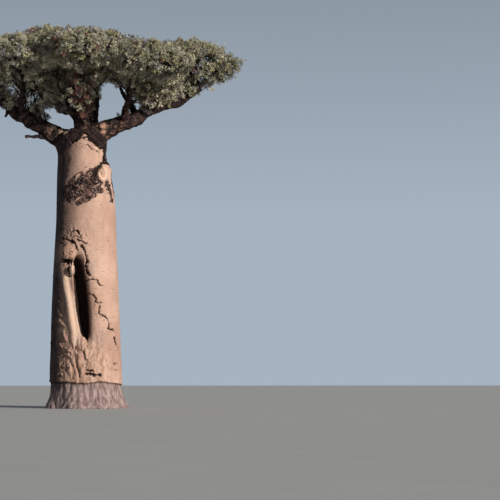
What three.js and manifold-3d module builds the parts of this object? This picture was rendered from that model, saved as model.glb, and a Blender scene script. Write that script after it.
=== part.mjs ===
// A tall baobab: a bottle trunk with a deep cleft in its front, a fork of bare boughs and a flat,
// umbrella-shaped crown. Millimetres, +Z up. The origin is the centre of the flat cut at ground level.
// The cleft faces -Y, and the longest bough points to +X. The trunk, each limb and each mass of foliage
// is a solid of its own.

import * as THREE from "three";
import { mergeVertices } from "three/addons/utils/BufferGeometryUtils.js";
import Module from "manifold-3d";

const wasm = await Module();
wasm.setup();

// Gap between neighbouring solids.
const CLEAR = 0.3;

// Trunk: its radius and sideways lean at each named level, from the ground to the top of the fork.
const TRUNK_LEVELS = [
  { name: "ground", height: 0, radius: 2290, lean: 0 },
  { name: "instep", height: 560, radius: 2070, lean: 0 },
  { name: "under ledge", height: 1330, radius: 1935, lean: 0 },
  { name: "ledge", height: 1420, radius: 2020, lean: -10 },
  { name: "belly", height: 3800, radius: 1950, lean: -60 },
  { name: "waist", height: 8350, radius: 1790, lean: -120 },
  { name: "chest", height: 11500, radius: 1650, lean: -150 },
  { name: "shoulder", height: 13050, radius: 1545, lean: -260 },
  { name: "neck", height: 14370, radius: 1370, lean: -430 },
  { name: "collar", height: 15150, radius: 1480, lean: -470 },
  { name: "fork", height: 15520, radius: 1300, lean: -420 },
  { name: "crotch", height: 15800, radius: 900, lean: -300 },
  { name: "top", height: 15950, radius: 480, lean: -200 },
];
const TRUNK_RINGS_BETWEEN = [280, 950, 2600, 5200, 6800, 9900, 12300, 13750, 14800];
const TRUNK_SIDES = 26;
const ROOT_LOBES = { count: 7, share: 0.055, height: 1100, turn: 0.6 };

// Cleft in the front: an upright lens-shaped hollow that leans to the left at its top.
const CLEFT = { x: -250, y: -1780, height: 6050, size: [340, 1050, 2400], lean: 0.1, facets: [16, 12] };
// Thick lip down the left side of the cleft, from the burr above it to the scar below it.
// It stands proud of the bark and sinks into it at its foot.
const LIP = {
  top: { x: -1020, height: 8400, proud: 120 },
  foot: { x: -410, height: 3100, proud: -90 },
  bend: 1.5,
  sinking: 5,
  radii: [330, 290],
  sides: 9,
  points: 6,
};
// Lumps on the bark: the burr over the cleft, the scar under it, the swelling at the right of the shoulder.
const LUMPS = {
  burr: { x: -1050, y: -1400, height: 8600, size: [420, 330, 620], lean: 0, facets: [10, 7] },
  scar: { x: 120, y: -1780, height: 2850, size: [620, 270, 620], lean: 0, facets: [10, 7] },
  shoulder: { x: 830, y: -300, height: 13150, size: [470, 620, 900], lean: 0, facets: [10, 7] },
};

// Crown: each mass by its bearing (0 is +X, 90 is the back), the reach of its centre from the crown's axis,
// the heights of its underside and top, its half sizes outwards and sideways, and its number of main twigs.
const CROWN_AXIS_X = -250;
const MASSES = {
  mass_east: { bearing: 2, reach: 6080, heights: [18100, 21400], half: [3120, 2500], twigs: 7 },
  mass_northeast: { bearing: 42, reach: 6250, heights: [18300, 20900], half: [2500, 2450], twigs: 6 },
  mass_back_high: { bearing: 76, reach: 5200, heights: [19500, 21500], half: [2100, 1700], twigs: 5 },
  mass_north: { bearing: 107, reach: 6250, heights: [18200, 21000], half: [2450, 2450], twigs: 6 },
  mass_northwest: { bearing: 146, reach: 6250, heights: [18100, 20800], half: [2500, 2600], twigs: 6 },
  mass_west: { bearing: 186, reach: 6250, heights: [17950, 21050], half: [2500, 2600], twigs: 6 },
  mass_southwest: { bearing: 227, reach: 6100, heights: [17550, 20150], half: [2500, 2500], twigs: 6 },
  mass_south: { bearing: 268, reach: 5950, heights: [17900, 20350], half: [2450, 2550], twigs: 6 },
  mass_southeast: { bearing: 307, reach: 6100, heights: [17550, 20000], half: [2500, 2500], twigs: 6 },
  mass_top_east: { bearing: 15, reach: 2500, heights: [18450, 21500], half: [2100, 2200], twigs: 5 },
  mass_top_north: { bearing: 110, reach: 2600, heights: [18900, 21700], half: [2100, 2200], twigs: 5 },
  mass_top_west: { bearing: 192, reach: 2600, heights: [18600, 21950], half: [2100, 2200], twigs: 5 },
  mass_top_south: { bearing: 285, reach: 2600, heights: [18700, 21250], half: [2000, 2150], twigs: 5 },
  mass_low_east: { bearing: 342, reach: 4300, heights: [17500, 19500], half: [1800, 1300], twigs: 5 },
  mass_low_west: { bearing: 200, reach: 3200, heights: [16950, 18950], half: [1500, 1350], twigs: 5 },
  mass_heart: { bearing: 262, reach: 3400, heights: [16850, 18600], half: [800, 850], twigs: 4 },
};
const FIRST_SEED = 101;
const SEED_STEP = 37;

// Where the limb's tip enters a mass, in shares of its half sizes: the usual place, and the masses that
// have their own.
const USUAL_FOOT = [-0.2, 0, -1];
const OWN_FOOT = {
  mass_east: [0.16, 0, -0.85],
  mass_back_high: [-0.2, 0.25, -1],
  mass_southwest: [-0.5, 0, -0.8],
  mass_south: [-0.75, 0, -0.66],
  mass_southeast: [-0.8, 0, -0.55],
  mass_top_west: [-0.45, 0, -0.9],
  mass_top_south: [-0.4, 0, -1],
};

// Limbs. A bough starts near the fork, moved by a spread along its bearing and by a drop, and a branch
// starts at a share of the length of another limb. Each is aimed by a bearing and a rise, tapers between two
// radii, turns upwards at its tip by its lift, and carries the mass with the same name.
const FORK = new THREE.Vector3(-450, 0, 15350);
const BOUGHS = {
  bough_west: { spread: 450, drop: 400, aim: [184, 34], radii: [550, 260], lift: 0.3 },
  bough_east: { spread: 500, drop: 30, aim: [0, 32], radii: [600, 200], lift: 0.05 },
  bough_northeast: { spread: 400, drop: 0, aim: [50, 36], radii: [440, 200], lift: 0.3 },
  bough_northwest: { spread: 450, drop: 250, aim: [132, 32], radii: [420, 200], lift: 0.35 },
  bough_south: { spread: 350, drop: 0, aim: [280, 45], radii: [340, 180], lift: 0.3 },
  bough_top_west: { spread: -200, drop: 0, aim: [186, 70], radii: [300, 180], lift: 0.2 },
  bough_top_south: { spread: -620, drop: 0, aim: [200, 72], radii: [270, 170], lift: 0.3 },
};
const BRANCHES = {
  branch_back_high: { from: ["bough_northeast", 0.12], aim: [80, 58], radii: [180, 120], lift: 0.5 },
  branch_north: { from: ["branch_back_high", 0.35], aim: [140, 15], radii: [160, 120], lift: 0.3 },
  branch_southwest: { from: ["bough_west", 0.5], aim: [235, 40], radii: [220, 150], lift: 0.3 },
  branch_southeast: { from: ["bough_east", 0.3], aim: [285, 35], radii: [220, 150], lift: 0.3 },
  branch_top_east: { from: ["bough_east", 0.44], aim: [165, 50], radii: [180, 130], lift: 0.3 },
  branch_top_north: { from: ["bough_top_west", 0.3], aim: [70, 50], radii: [200, 140], lift: 0.35 },
  branch_low_east: { from: ["bough_east", 0.55], aim: [320, 45], radii: [130, 90], lift: 0.3 },
  branch_low_west: { from: ["bough_west", 0.34], aim: [230, 50], radii: [140, 100], lift: 0.3 },
  branch_heart: { from: ["bough_south", 0.4], aim: [262, 15], radii: [110, 80], lift: 0.3 },
};
// Broken stubs below the west bough: a long one at its root, and a knob further out.
const STUBS = {
  stub_west: { from: ["bough_west", 0.12], aim: [186, 0], length: 2100, radii: [170, 110] },
  knob_west: { from: ["bough_west", 0.7], aim: [200, -70], length: 560, radii: [130, 100] },
};
const BOUGH_SIDES = 9;
const BRANCH_SIDES = 7;
const RING_STEP = 800;
// Lengths of the two handles of a limb's curve, as shares of its span.
const HANDLE = { leave: 0.36, arrive: 0.3 };
const ROOT_SWELL = { share: 0.2, fade: 9 };
const TAPER_POWER = 0.8;
// Places along a limb where foliage checks its distance from it.
const SAMPLES = 24;

// Foliage. A stem enters the mass, main twigs spread from it inside a lumpy core, each forks in two, and
// sprays of leaves stand around every tip. Points are shares of the mass's half sizes: outwards, sideways,
// upwards.
const HEART = new THREE.Vector3(-0.05, 0, -0.15);
const CORE = { share: 0.75, lump: 0.1, waves: 3, waviness: 7, under: 0.92, detail: 1 };
const STEM = { share: 0.92, taper: 0.6, sides: 6, sunk: 60 };
const TWIG = { radius: 55, knee: 0.4, tip: 0.6, spread: 0.4, sides: 3 };
const SPRAY = { count: 2, spread: 0.35, width: 0.7, widest: 750, thickness: 70, sunk: 0.2, shortest: 500 };
const LOWEST_TWIG = -0.5;
const DRAW_IN = 0.95;
const GOLDEN_TURN = Math.PI * (3 - Math.sqrt(5));
// Room that foliage keeps: from a limb, beyond its own space, and from the middle line to a neighbour's.
const ROOM = { limb: 60, space: 1.1, neighbour: 0.02 };

const BARK_PALE = new THREE.MeshStandardMaterial({ color: 0xd3a78b, roughness: 0.85, metalness: 0 });
const BARK_DARK = new THREE.MeshStandardMaterial({ color: 0x5f463c, roughness: 0.9, metalness: 0 });
const FOLIAGE = new THREE.MeshStandardMaterial({ color: 0x6b6a4c, roughness: 0.8, metalness: 0 });

const UP = new THREE.Vector3(0, 0, 1);
const NEARLY_UPRIGHT = 0.95;
const MERGE = 1e-3;

// Seeded random numbers from 0 to 1.
const RANDOM_FACTOR = 16807;
const RANDOM_RANGE = 2147483647;
function seeded(seed) {
  let state = seed;
  return () => {
    state = (state * RANDOM_FACTOR) % RANDOM_RANGE;
    return state / RANDOM_RANGE;
  };
}

// A closed geometry as a solid: only positions are kept, so that shared vertices merge.
function solidOf(geometry) {
  const bare = new THREE.BufferGeometry();
  bare.setAttribute("position", geometry.getAttribute("position"));
  if (geometry.index) bare.setIndex(geometry.index);
  const merged = mergeVertices(bare, MERGE);
  const vertProperties = new Float32Array(merged.getAttribute("position").array);
  const triVerts = new Uint32Array(merged.index.array);
  return new wasm.Manifold(new wasm.Mesh({ numProp: 3, vertProperties, triVerts }));
}

// The largest body of a solid, which drops any loose scrap that a cut has left.
function largestBody(solid) {
  return solid.decompose().reduce((best, body) => (body.volume() > best.volume() ? body : best));
}

function addNode(group, name, solid, material) {
  const { vertProperties, triVerts } = solid.getMesh();
  const geometry = new THREE.BufferGeometry();
  geometry.setAttribute("position", new THREE.BufferAttribute(new Float32Array(vertProperties), 3));
  geometry.setIndex(new THREE.BufferAttribute(new Uint32Array(triVerts), 1));
  geometry.computeVertexNormals();
  const mesh = new THREE.Mesh(geometry, material);
  mesh.name = name;
  group.add(mesh);
}

// Moves every vertex of a geometry by a rule.
function reshape(geometry, rule) {
  const position = geometry.getAttribute("position");
  const point = new THREE.Vector3();
  for (let i = 0; i < position.count; i++) {
    const moved = rule(point.fromBufferAttribute(position, i));
    position.setXYZ(i, moved.x, moved.y, moved.z);
  }
  return geometry;
}

function direction([bearing, rise]) {
  const turn = THREE.MathUtils.degToRad(bearing);
  const tilt = THREE.MathUtils.degToRad(rise);
  const level = Math.cos(tilt);
  return new THREE.Vector3(level * Math.cos(turn), level * Math.sin(turn), Math.sin(tilt));
}

// Two directions square to a third one, the first of them level unless the third is nearly upright.
function squareTo(along) {
  const reference = Math.abs(along.z) > NEARLY_UPRIGHT ? new THREE.Vector3(0, 1, 0) : UP;
  const side = new THREE.Vector3().crossVectors(along, reference).normalize();
  return [side, new THREE.Vector3().crossVectors(side, along)];
}

// A value of the trunk at a height, on a smooth curve through its named levels.
function trunkValue(key, height) {
  const last = TRUNK_LEVELS.length - 1;
  let i = 0;
  while (i < last - 1 && height > TRUNK_LEVELS[i + 1].height) i++;
  const [a, b] = [TRUNK_LEVELS[i], TRUNK_LEVELS[i + 1]];
  const before = TRUNK_LEVELS[Math.max(0, i - 1)];
  const after = TRUNK_LEVELS[Math.min(last, i + 2)];
  const span = b.height - a.height;
  const slopeA = ((b[key] - before[key]) / (b.height - before.height)) * span;
  const slopeB = ((after[key] - a[key]) / (after.height - a.height)) * span;
  const t = (height - a.height) / span;
  const rest = 1 - t;
  const between = a[key] * (1 + 2 * t) * rest * rest + b[key] * t * t * (3 - 2 * t);
  return between + slopeA * t * rest * rest - slopeB * t * t * rest;
}

const LEVEL_HEIGHTS = TRUNK_LEVELS.map((level) => level.height);
const TRUNK_RINGS = [...LEVEL_HEIGHTS, ...TRUNK_RINGS_BETWEEN].sort((a, b) => a - b);

// The trunk from its flat cut to the top of the fork, with lobes of the root flare that fade upwards. It grows
// outwards and upwards when it serves as a cutter.
function trunkSolid(grow) {
  const rings = TRUNK_RINGS.length - 1;
  const unit = new THREE.CylinderGeometry(1, 1, 1, TRUNK_SIDES, rings);
  const shaped = reshape(unit, (p) => {
    const ring = Math.round((p.y + 0.5) * rings);
    const height = TRUNK_RINGS[ring];
    const fade = ROOT_LOBES.share * Math.max(0, 1 - height / ROOT_LOBES.height);
    const lobes = 1 + fade * Math.cos(ROOT_LOBES.count * Math.atan2(-p.z, p.x) + ROOT_LOBES.turn);
    const inside = Math.hypot(p.x, p.z);
    const radius = inside * (trunkValue("radius", height) * lobes + grow);
    const [x, y] = inside > 0 ? [p.x / inside, -p.z / inside] : [0, 0];
    return new THREE.Vector3(trunkValue("lean", height) + radius * x, radius * y, height + grow);
  });
  return solidOf(shaped);
}

// An upright ellipsoid with a lean, for the hollow of the cleft and for the lumps.
function lumpSolid({ x, y, height, size: [across, deep, tall], lean, facets }) {
  const place = (p) => {
    const rise = tall * p.y;
    return new THREE.Vector3(x + across * p.x - lean * rise, y - deep * p.z, height + rise);
  };
  return solidOf(reshape(new THREE.SphereGeometry(1, ...facets), place));
}

// The radius of a limb falls quickly at its swollen root and then evenly to its tip.
function limbRadius([root, tip], t) {
  const swell = root * ROOT_SWELL.share * Math.exp(-t * ROOT_SWELL.fade);
  return root + (tip - root) * Math.pow(t, TAPER_POWER) + swell;
}

// A tapering limb with round sections across its curve, grown all round when it serves as a cutter.
function limbSolid({ curve, radii, sides }, grow) {
  const rings = Math.max(2, Math.round(curve.getLength() / RING_STEP));
  const shaped = reshape(new THREE.CylinderGeometry(1, 1, 1, sides, rings), (p) => {
    const ring = Math.round((p.y + 0.5) * rings);
    const along = curve.getTangentAt(ring / rings);
    const [side, over] = squareTo(along);
    const radius = limbRadius(radii, ring / rings) + grow;
    const cap = ring === rings ? grow : 0;
    return curve
      .getPointAt(ring / rings)
      .addScaledVector(side, radius * p.x)
      .addScaledVector(over, radius * p.z)
      .addScaledVector(along, cap);
  });
  return solidOf(shaped);
}

// A straight piece from one point to another with a few flat sides.
function stickSolid(start, end, [startRadius, endRadius], sides) {
  const [side, over] = squareTo(end.clone().sub(start).normalize());
  const shaped = reshape(new THREE.CylinderGeometry(1, 1, 1, sides), (p) => {
    const radius = THREE.MathUtils.lerp(startRadius, endRadius, p.y + 0.5);
    const centre = start.clone().lerp(end, p.y + 0.5);
    return centre.addScaledVector(side, radius * p.x).addScaledVector(over, radius * p.z);
  });
  return solidOf(shaped);
}

// The ellipsoidal space of a mass: its centre, half sizes, and axes outwards, sideways and upwards.
function spaceOf({ bearing, reach, heights: [under, top], half }) {
  const outwards = direction([bearing, 0]);
  const centre = outwards.clone().multiplyScalar(reach);
  centre.x += CROWN_AXIS_X;
  centre.z = (top + under) / 2;
  return {
    centre,
    half: [...half, (top - under) / 2],
    axes: [outwards, new THREE.Vector3().crossVectors(UP, outwards), UP],
  };
}

// A point of a mass from its shares of the half sizes, and the shares of a point.
function placeIn({ centre, half, axes }, shares) {
  const point = centre.clone();
  axes.forEach((axis, i) => point.addScaledVector(axis, shares.getComponent(i) * half[i]));
  return point;
}
function sharesOf({ centre, half, axes }, point) {
  const offset = point.clone().sub(centre);
  return new THREE.Vector3(...axes.map((axis, i) => offset.dot(axis) / half[i]));
}

// The curve of a limb from its start to the foot of its mass.
function limbCurve(start, aim, foot, lift) {
  const chord = foot.clone().sub(start);
  const span = chord.length();
  const arrival = chord.normalize().lerp(UP, lift).normalize();
  const leave = start.clone().addScaledVector(direction(aim), span * HANDLE.leave);
  const arrive = foot.clone().addScaledVector(arrival, -span * HANDLE.arrive);
  return new THREE.CubicBezierCurve3(start, leave, arrive, foot);
}

// True if a point keeps to its own space, which ends half-way to a neighbour's.
function inOwnSpace(point, own, spaces) {
  const distance = sharesOf(own, point).length();
  const nearer = (other) => other !== own && sharesOf(other, point).length() < distance + ROOM.neighbour;
  return distance < ROOM.space && !spaces.some(nearer);
}

function clearOfLimbs(point, limbs) {
  const clearOf = ({ centre, radius }) => centre.distanceTo(point) > radius + ROOM.limb;
  return limbs.every(({ samples }) => samples.every(clearOf));
}

// A spray of leaves: an octahedron drawn out into a thin blade of eight faces, pointed at both ends.
function sprayOf(tip, end, face) {
  const along = end.clone().sub(tip);
  const long = (along.length() * (1 + SPRAY.sunk)) / 2;
  const wide = Math.min(SPRAY.widest, along.length() * SPRAY.width) / 2;
  const thick = SPRAY.thickness / 2;
  along.normalize();
  const across = new THREE.Vector3().crossVectors(face, along).normalize();
  const normal = new THREE.Vector3().crossVectors(along, across);
  const middle = end.clone().addScaledVector(along, -long);
  const at = (l, w, h) => {
    const point = middle.clone().addScaledVector(along, l * long);
    return point.addScaledVector(across, w * wide).addScaledVector(normal, h * thick);
  };
  const blade = reshape(new THREE.OctahedronGeometry(1), (p) => at(p.x, p.y, p.z));
  return { blade, corners: [at(0, 1, 0), at(0, -1, 0)], length: 2 * long };
}

// Draws shares of a mass towards its centre until they keep to its own space.
function drawnIn(shares, space, spaces) {
  while (!inOwnSpace(placeIn(space, shares), space, spaces)) shares.multiplyScalar(DRAW_IN);
  return shares;
}

// The core is a ball of the mass's own shape, rippled, flatter underneath and drawn in where it meets a
// neighbour.
function coreSolid(space, random, spaces) {
  const anyWave = () => new THREE.Vector3(random(), random(), random()).subScalar(0.5);
  const waves = Array.from({ length: CORE.waves }, () => anyWave().multiplyScalar(CORE.waviness));
  const rule = (p) => {
    const ripple = waves.reduce((sum, wave) => sum + Math.sin(wave.dot(p) + wave.x), 0) / waves.length;
    const shares = p.clone().multiplyScalar(CORE.share * (1 + CORE.lump * ripple));
    if (p.z < 0) shares.z *= CORE.under;
    return placeIn(space, drawnIn(shares, space, spaces));
  };
  return solidOf(reshape(new THREE.IcosahedronGeometry(1, CORE.detail), rule));
}

// The heading of a main twig: from nearly upright to a little below level, turned by the golden angle.
function twigHeading(i, twigs, random) {
  const lift = 1 - ((i + 0.5) / twigs) * (1 - LOWEST_TWIG);
  const turn = i * GOLDEN_TURN + random();
  const level = Math.sqrt(1 - lift * lift);
  return new THREE.Vector3(level * Math.cos(turn), level * Math.sin(turn), lift);
}

// A heading turned aside from another by a share, at an angle round it.
function asideOf(heading, [side, over], angle, share) {
  const aside = heading.clone().addScaledVector(side, share * Math.cos(angle));
  return aside.addScaledVector(over, share * Math.sin(angle)).normalize();
}

// One mass of foliage, cut clear of every limb. Twig tips and sprays that would leave the mass's space or
// touch a limb are left out.
function massSolid({ space, twigs, limb, seed }, spaces, limbs, cutter) {
  const random = seeded(seed);
  const tipRadius = limb.radii[1];
  const foot = limb.curve.getPointAt(1).addScaledVector(limb.curve.getTangentAt(1), -STEM.sunk);
  const heart = placeIn(space, HEART);
  const keeps = (point) => inOwnSpace(point, space, spaces) && clearOfLimbs(point, limbs);
  const parts = [
    stickSolid(foot, heart, [tipRadius * STEM.share, tipRadius * STEM.taper], STEM.sides),
    coreSolid(space, random, spaces),
  ];
  for (let i = 0; i < twigs; i++) {
    const heading = twigHeading(i, twigs, random);
    const knee = placeIn(space, heading.clone().multiplyScalar(TWIG.knee));
    parts.push(stickSolid(heart, knee, [TWIG.radius, TWIG.radius], TWIG.sides));
    const round = squareTo(heading);
    const forkTurn = random() * Math.PI;
    for (const turnBack of [0, Math.PI]) {
      const forkHeading = asideOf(heading, round, forkTurn + turnBack, TWIG.spread);
      const tip = placeIn(space, forkHeading.clone().multiplyScalar(TWIG.tip));
      if (!keeps(tip)) continue;
      parts.push(stickSolid(knee, tip, [TWIG.radius, TWIG.radius], TWIG.sides));
      for (let k = 0; k < SPRAY.count; k++) {
        const angle = ((k + random()) * 2 * Math.PI) / SPRAY.count;
        const sprayHeading = asideOf(forkHeading, round, angle, SPRAY.spread);
        const end = placeIn(space, drawnIn(sprayHeading, space, spaces));
        const { blade, corners, length } = sprayOf(tip, end, end.clone().sub(space.centre));
        if (length > SPRAY.shortest && [end, ...corners].every(keeps)) parts.push(solidOf(blade));
      }
    }
  }
  return largestBody(wasm.Manifold.union(parts).subtract(cutter));
}

// The trunk, cut by the cleft, with the lip and the lumps grown on it.
function buildTrunk() {
  const onBark = (_, i) => {
    const t = i / (LIP.points - 1);
    const x = THREE.MathUtils.lerp(LIP.top.x, LIP.foot.x, Math.pow(t, LIP.bend));
    const height = THREE.MathUtils.lerp(LIP.top.height, LIP.foot.height, t);
    const proud = THREE.MathUtils.lerp(LIP.top.proud, LIP.foot.proud, Math.pow(t, LIP.sinking));
    const reach = trunkValue("radius", height) + proud - limbRadius(LIP.radii, t);
    const fromAxis = x - trunkValue("lean", height);
    return new THREE.Vector3(x, -Math.sqrt(reach * reach - fromAxis * fromAxis), height);
  };
  const curve = new THREE.CatmullRomCurve3(Array.from({ length: LIP.points }, onBark));
  const lip = limbSolid({ ...LIP, curve }, 0);
  const lumps = Object.values(LUMPS).map(lumpSolid);
  return wasm.Manifold.union([trunkSolid(0).subtract(lumpSolid(CLEFT)), lip, ...lumps]);
}

const spaces = {};
for (const [name, mass] of Object.entries(MASSES)) spaces[name] = spaceOf(mass);
const limbs = {};

function addLimb(name, limb) {
  const at = (i) => ({
    centre: limb.curve.getPointAt(i / SAMPLES),
    radius: limbRadius(limb.radii, i / SAMPLES),
  });
  limbs[name] = { ...limb, samples: Array.from({ length: SAMPLES + 1 }, (_, i) => at(i)) };
}

// A bough or branch ends at the foot of the mass that it carries.
const carriers = {};
function addCarrier(name, start, { aim, radii, lift }, sides) {
  const mass = name.replace(/^[a-z]+/, "mass");
  const foot = placeIn(spaces[mass], new THREE.Vector3(...(OWN_FOOT[mass] ?? USUAL_FOOT)));
  addLimb(name, { curve: limbCurve(start, aim, foot, lift), radii, sides });
  carriers[mass] = limbs[name];
}

const alongLimb = ([name, share]) => limbs[name].curve.getPointAt(share);

for (const [name, bough] of Object.entries(BOUGHS)) {
  const outwards = direction([bough.aim[0], 0]);
  const start = FORK.clone().addScaledVector(outwards, bough.spread).addScaledVector(UP, -bough.drop);
  addCarrier(name, start, bough, BOUGH_SIDES);
}
for (const [name, branch] of Object.entries(BRANCHES)) {
  addCarrier(name, alongLimb(branch.from), branch, BRANCH_SIDES);
}
for (const [name, { from, aim, length, radii }] of Object.entries(STUBS)) {
  const start = alongLimb(from);
  const curve = new THREE.LineCurve3(start, start.clone().addScaledVector(direction(aim), length));
  addLimb(name, { curve, radii, sides: BRANCH_SIDES });
}

// Each limb is cut clear of the trunk and of the limbs before it, and each mass clear of all of them.
const tree = new THREE.Group();
const trunk = buildTrunk();
addNode(tree, "trunk", trunk, BARK_PALE);
let cutter = wasm.Manifold.union([trunk, trunkSolid(CLEAR)]);
for (const [name, limb] of Object.entries(limbs)) {
  addNode(tree, name, largestBody(limbSolid(limb, 0).subtract(cutter)), BARK_DARK);
  cutter = cutter.add(limbSolid(limb, CLEAR));
}
const allSpaces = Object.values(spaces);
const allLimbs = Object.values(limbs);
Object.entries(MASSES).forEach(([name, { twigs }], i) => {
  const mass = { space: spaces[name], twigs, limb: carriers[name], seed: FIRST_SEED + SEED_STEP * i };
  addNode(tree, name, massSolid(mass, allSpaces, allLimbs, cutter), FOLIAGE);
});

export default tree;
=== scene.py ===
# A tall baobab: bark with its relief, boughs, twigs and leaves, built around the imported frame.
# Metres, +Z up. The origin is the centre of the trunk's flat cut at ground level, and the cleft faces -Y.

import math

import bmesh
import bpy
import numpy as np
from mathutils import Matrix, Vector, noise


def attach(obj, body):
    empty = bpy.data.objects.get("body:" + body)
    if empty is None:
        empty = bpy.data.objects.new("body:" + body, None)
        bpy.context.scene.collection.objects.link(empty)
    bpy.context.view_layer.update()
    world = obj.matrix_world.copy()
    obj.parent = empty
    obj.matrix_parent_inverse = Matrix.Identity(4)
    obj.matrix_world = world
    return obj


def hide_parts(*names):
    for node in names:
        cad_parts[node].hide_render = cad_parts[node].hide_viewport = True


# Camera of the photograph.
IMAGE_PIXELS = 500
EYE = (0.0, -75.0, 1.565)
FOCAL_PIXELS = 1316.0
TURN_RIGHT = math.radians(7.055)
PITCH_UP = math.radians(5.642)
SENSOR = 36.0
FARTHEST = 2000

# Key light, sky tones with the heights between which they change, and floor.
KEY_BEARING = -47
KEY_RISE = 16
KEY_STRENGTH = 4.65
KEY_SPREAD = math.radians(2)
KEY_COLOUR = (1.0, 0.95, 0.88)
HORIZON = (0.38, 0.45, 0.53)
ZENITH = (0.11, 0.135, 0.16)
SKY_HEIGHTS = (0.12, 0.5)
FLOOR_HALF = 300
FLOOR_TONES = ((0.46, 0.45, 0.43), (0.52, 0.51, 0.49))

# Trunk: height, radius and sideways lean at each level.
TRUNK_LEVELS = np.array([
    [0.00, 2.290, 0.000],
    [0.56, 2.070, 0.000],
    [1.33, 1.935, 0.000],
    [1.42, 2.020, -0.010],
    [3.80, 1.950, -0.060],
    [8.35, 1.790, -0.120],
    [11.50, 1.650, -0.150],
    [13.05, 1.545, -0.260],
    [14.37, 1.370, -0.430],
    [15.15, 1.480, -0.470],
    [15.52, 1.300, -0.420],
    [15.80, 0.900, -0.300],
    [15.95, 0.480, -0.200],
])
TRUNK_RING_STEP = 0.1
TRUNK_SPIN_STEPS = 120
ROOT_LOBES = {"count": 7, "share": 0.055, "height": 1.1, "turn": 0.6}
# The ledge's usual height, and how far from it the profile is stretched to follow its line.
LEDGE_HEIGHT = 1.40
LEDGE_REACH = 0.9
# Height of the ledge at each turn from the middle of the front, to the right.
LEDGE_LINE = np.array([
    [-math.pi, 1.40],
    [-1.60, 1.43],
    [-0.60, 1.45],
    [-0.05, 1.34],
    [0.32, 1.48],
    [0.90, 1.36],
    [1.60, 1.26],
    [math.pi, 1.40],
])

# Cleft, how the bark at its right rolls into it, the lip at its left, and the lumps on the bark.
CLEFT = {"centre": (-0.33, -1.78, 6.05), "half": (0.36, 1.05, 2.45), "lean": 0.12, "blunt": 0.7}
CLEFT_ROLL = {"width": 0.62, "depth": 0.50}
LIP = {
    "top": (-1.34, 8.40, 0.13),
    "foot": (-0.50, 3.10, -0.05),
    "bend": 1.15,
    "sinking": 5,
    "sunk_top": 0.3,
    "radii": (0.31, 0.34),
}
LUMPS = {
    "burr": {"centre": (-1.04, -1.44, 8.58), "half": (0.38, 0.43, 0.55)},
    "scar": {"centre": (0.12, -1.76, 2.85), "half": (0.62, 0.27, 0.62)},
    "shoulder": {"centre": (0.83, -0.30, 13.15), "half": (0.47, 0.62, 0.90)},
    "ear": {"centre": (-1.36, -1.22, 8.62), "half": (0.16, 0.24, 0.36)},
    "knob": {"centre": (-0.84, -1.72, 7.64), "half": (0.14, 0.24, 0.31)},
    "brow": {"centre": (-0.62, -1.60, 8.95), "half": (0.33, 0.18, 0.30)},
    "heel": {"centre": (-0.22, -1.84, 3.48), "half": (0.26, 0.22, 0.42)},
}

# Crown: bearing, reach, heights of underside and top, half sizes outwards and sideways, main twigs.
CROWN_AXIS_X = -0.25
MASSES = {
    "mass_east": (2, 6.08, (18.10, 21.40), (3.12, 2.50), 7),
    "mass_northeast": (42, 6.25, (18.30, 20.90), (2.50, 2.45), 6),
    "mass_back_high": (76, 5.20, (19.50, 21.50), (2.10, 1.70), 5),
    "mass_north": (107, 6.25, (18.20, 21.00), (2.45, 2.45), 6),
    "mass_northwest": (146, 6.25, (18.10, 20.80), (2.50, 2.60), 6),
    "mass_west": (186, 6.25, (17.95, 21.05), (2.50, 2.60), 6),
    "mass_southwest": (227, 6.10, (17.55, 20.15), (2.50, 2.50), 6),
    "mass_south": (268, 5.95, (17.90, 20.35), (2.45, 2.55), 6),
    "mass_southeast": (307, 6.10, (17.55, 20.00), (2.50, 2.50), 6),
    "mass_top_east": (15, 2.50, (18.45, 21.50), (2.10, 2.20), 5),
    "mass_top_north": (110, 2.60, (18.90, 21.70), (2.10, 2.20), 5),
    "mass_top_west": (192, 2.60, (18.60, 21.95), (2.10, 2.20), 5),
    "mass_top_south": (285, 2.60, (18.70, 21.25), (2.00, 2.15), 5),
    "mass_low_east": (342, 4.30, (17.50, 19.50), (1.80, 1.30), 5),
    "mass_low_west": (200, 3.20, (16.95, 18.95), (1.50, 1.35), 5),
    "mass_heart": (262, 3.40, (16.85, 18.60), (0.80, 0.85), 4),
}
FIRST_SEED = 101
SEED_STEP = 37
# Where the limb's tip meets its mass, in the mass's own shares.
USUAL_FOOT = (-0.2, 0, -1)
OWN_FOOT = {
    "mass_east": (0.16, 0, -0.85),
    "mass_back_high": (-0.2, 0.25, -1),
    "mass_southwest": (-0.5, 0, -0.8),
    "mass_south": (-0.75, 0, -0.66),
    "mass_southeast": (-0.8, 0, -0.55),
    "mass_top_west": (-0.45, 0, -0.9),
    "mass_top_south": (-0.4, 0, -1),
}

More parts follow.
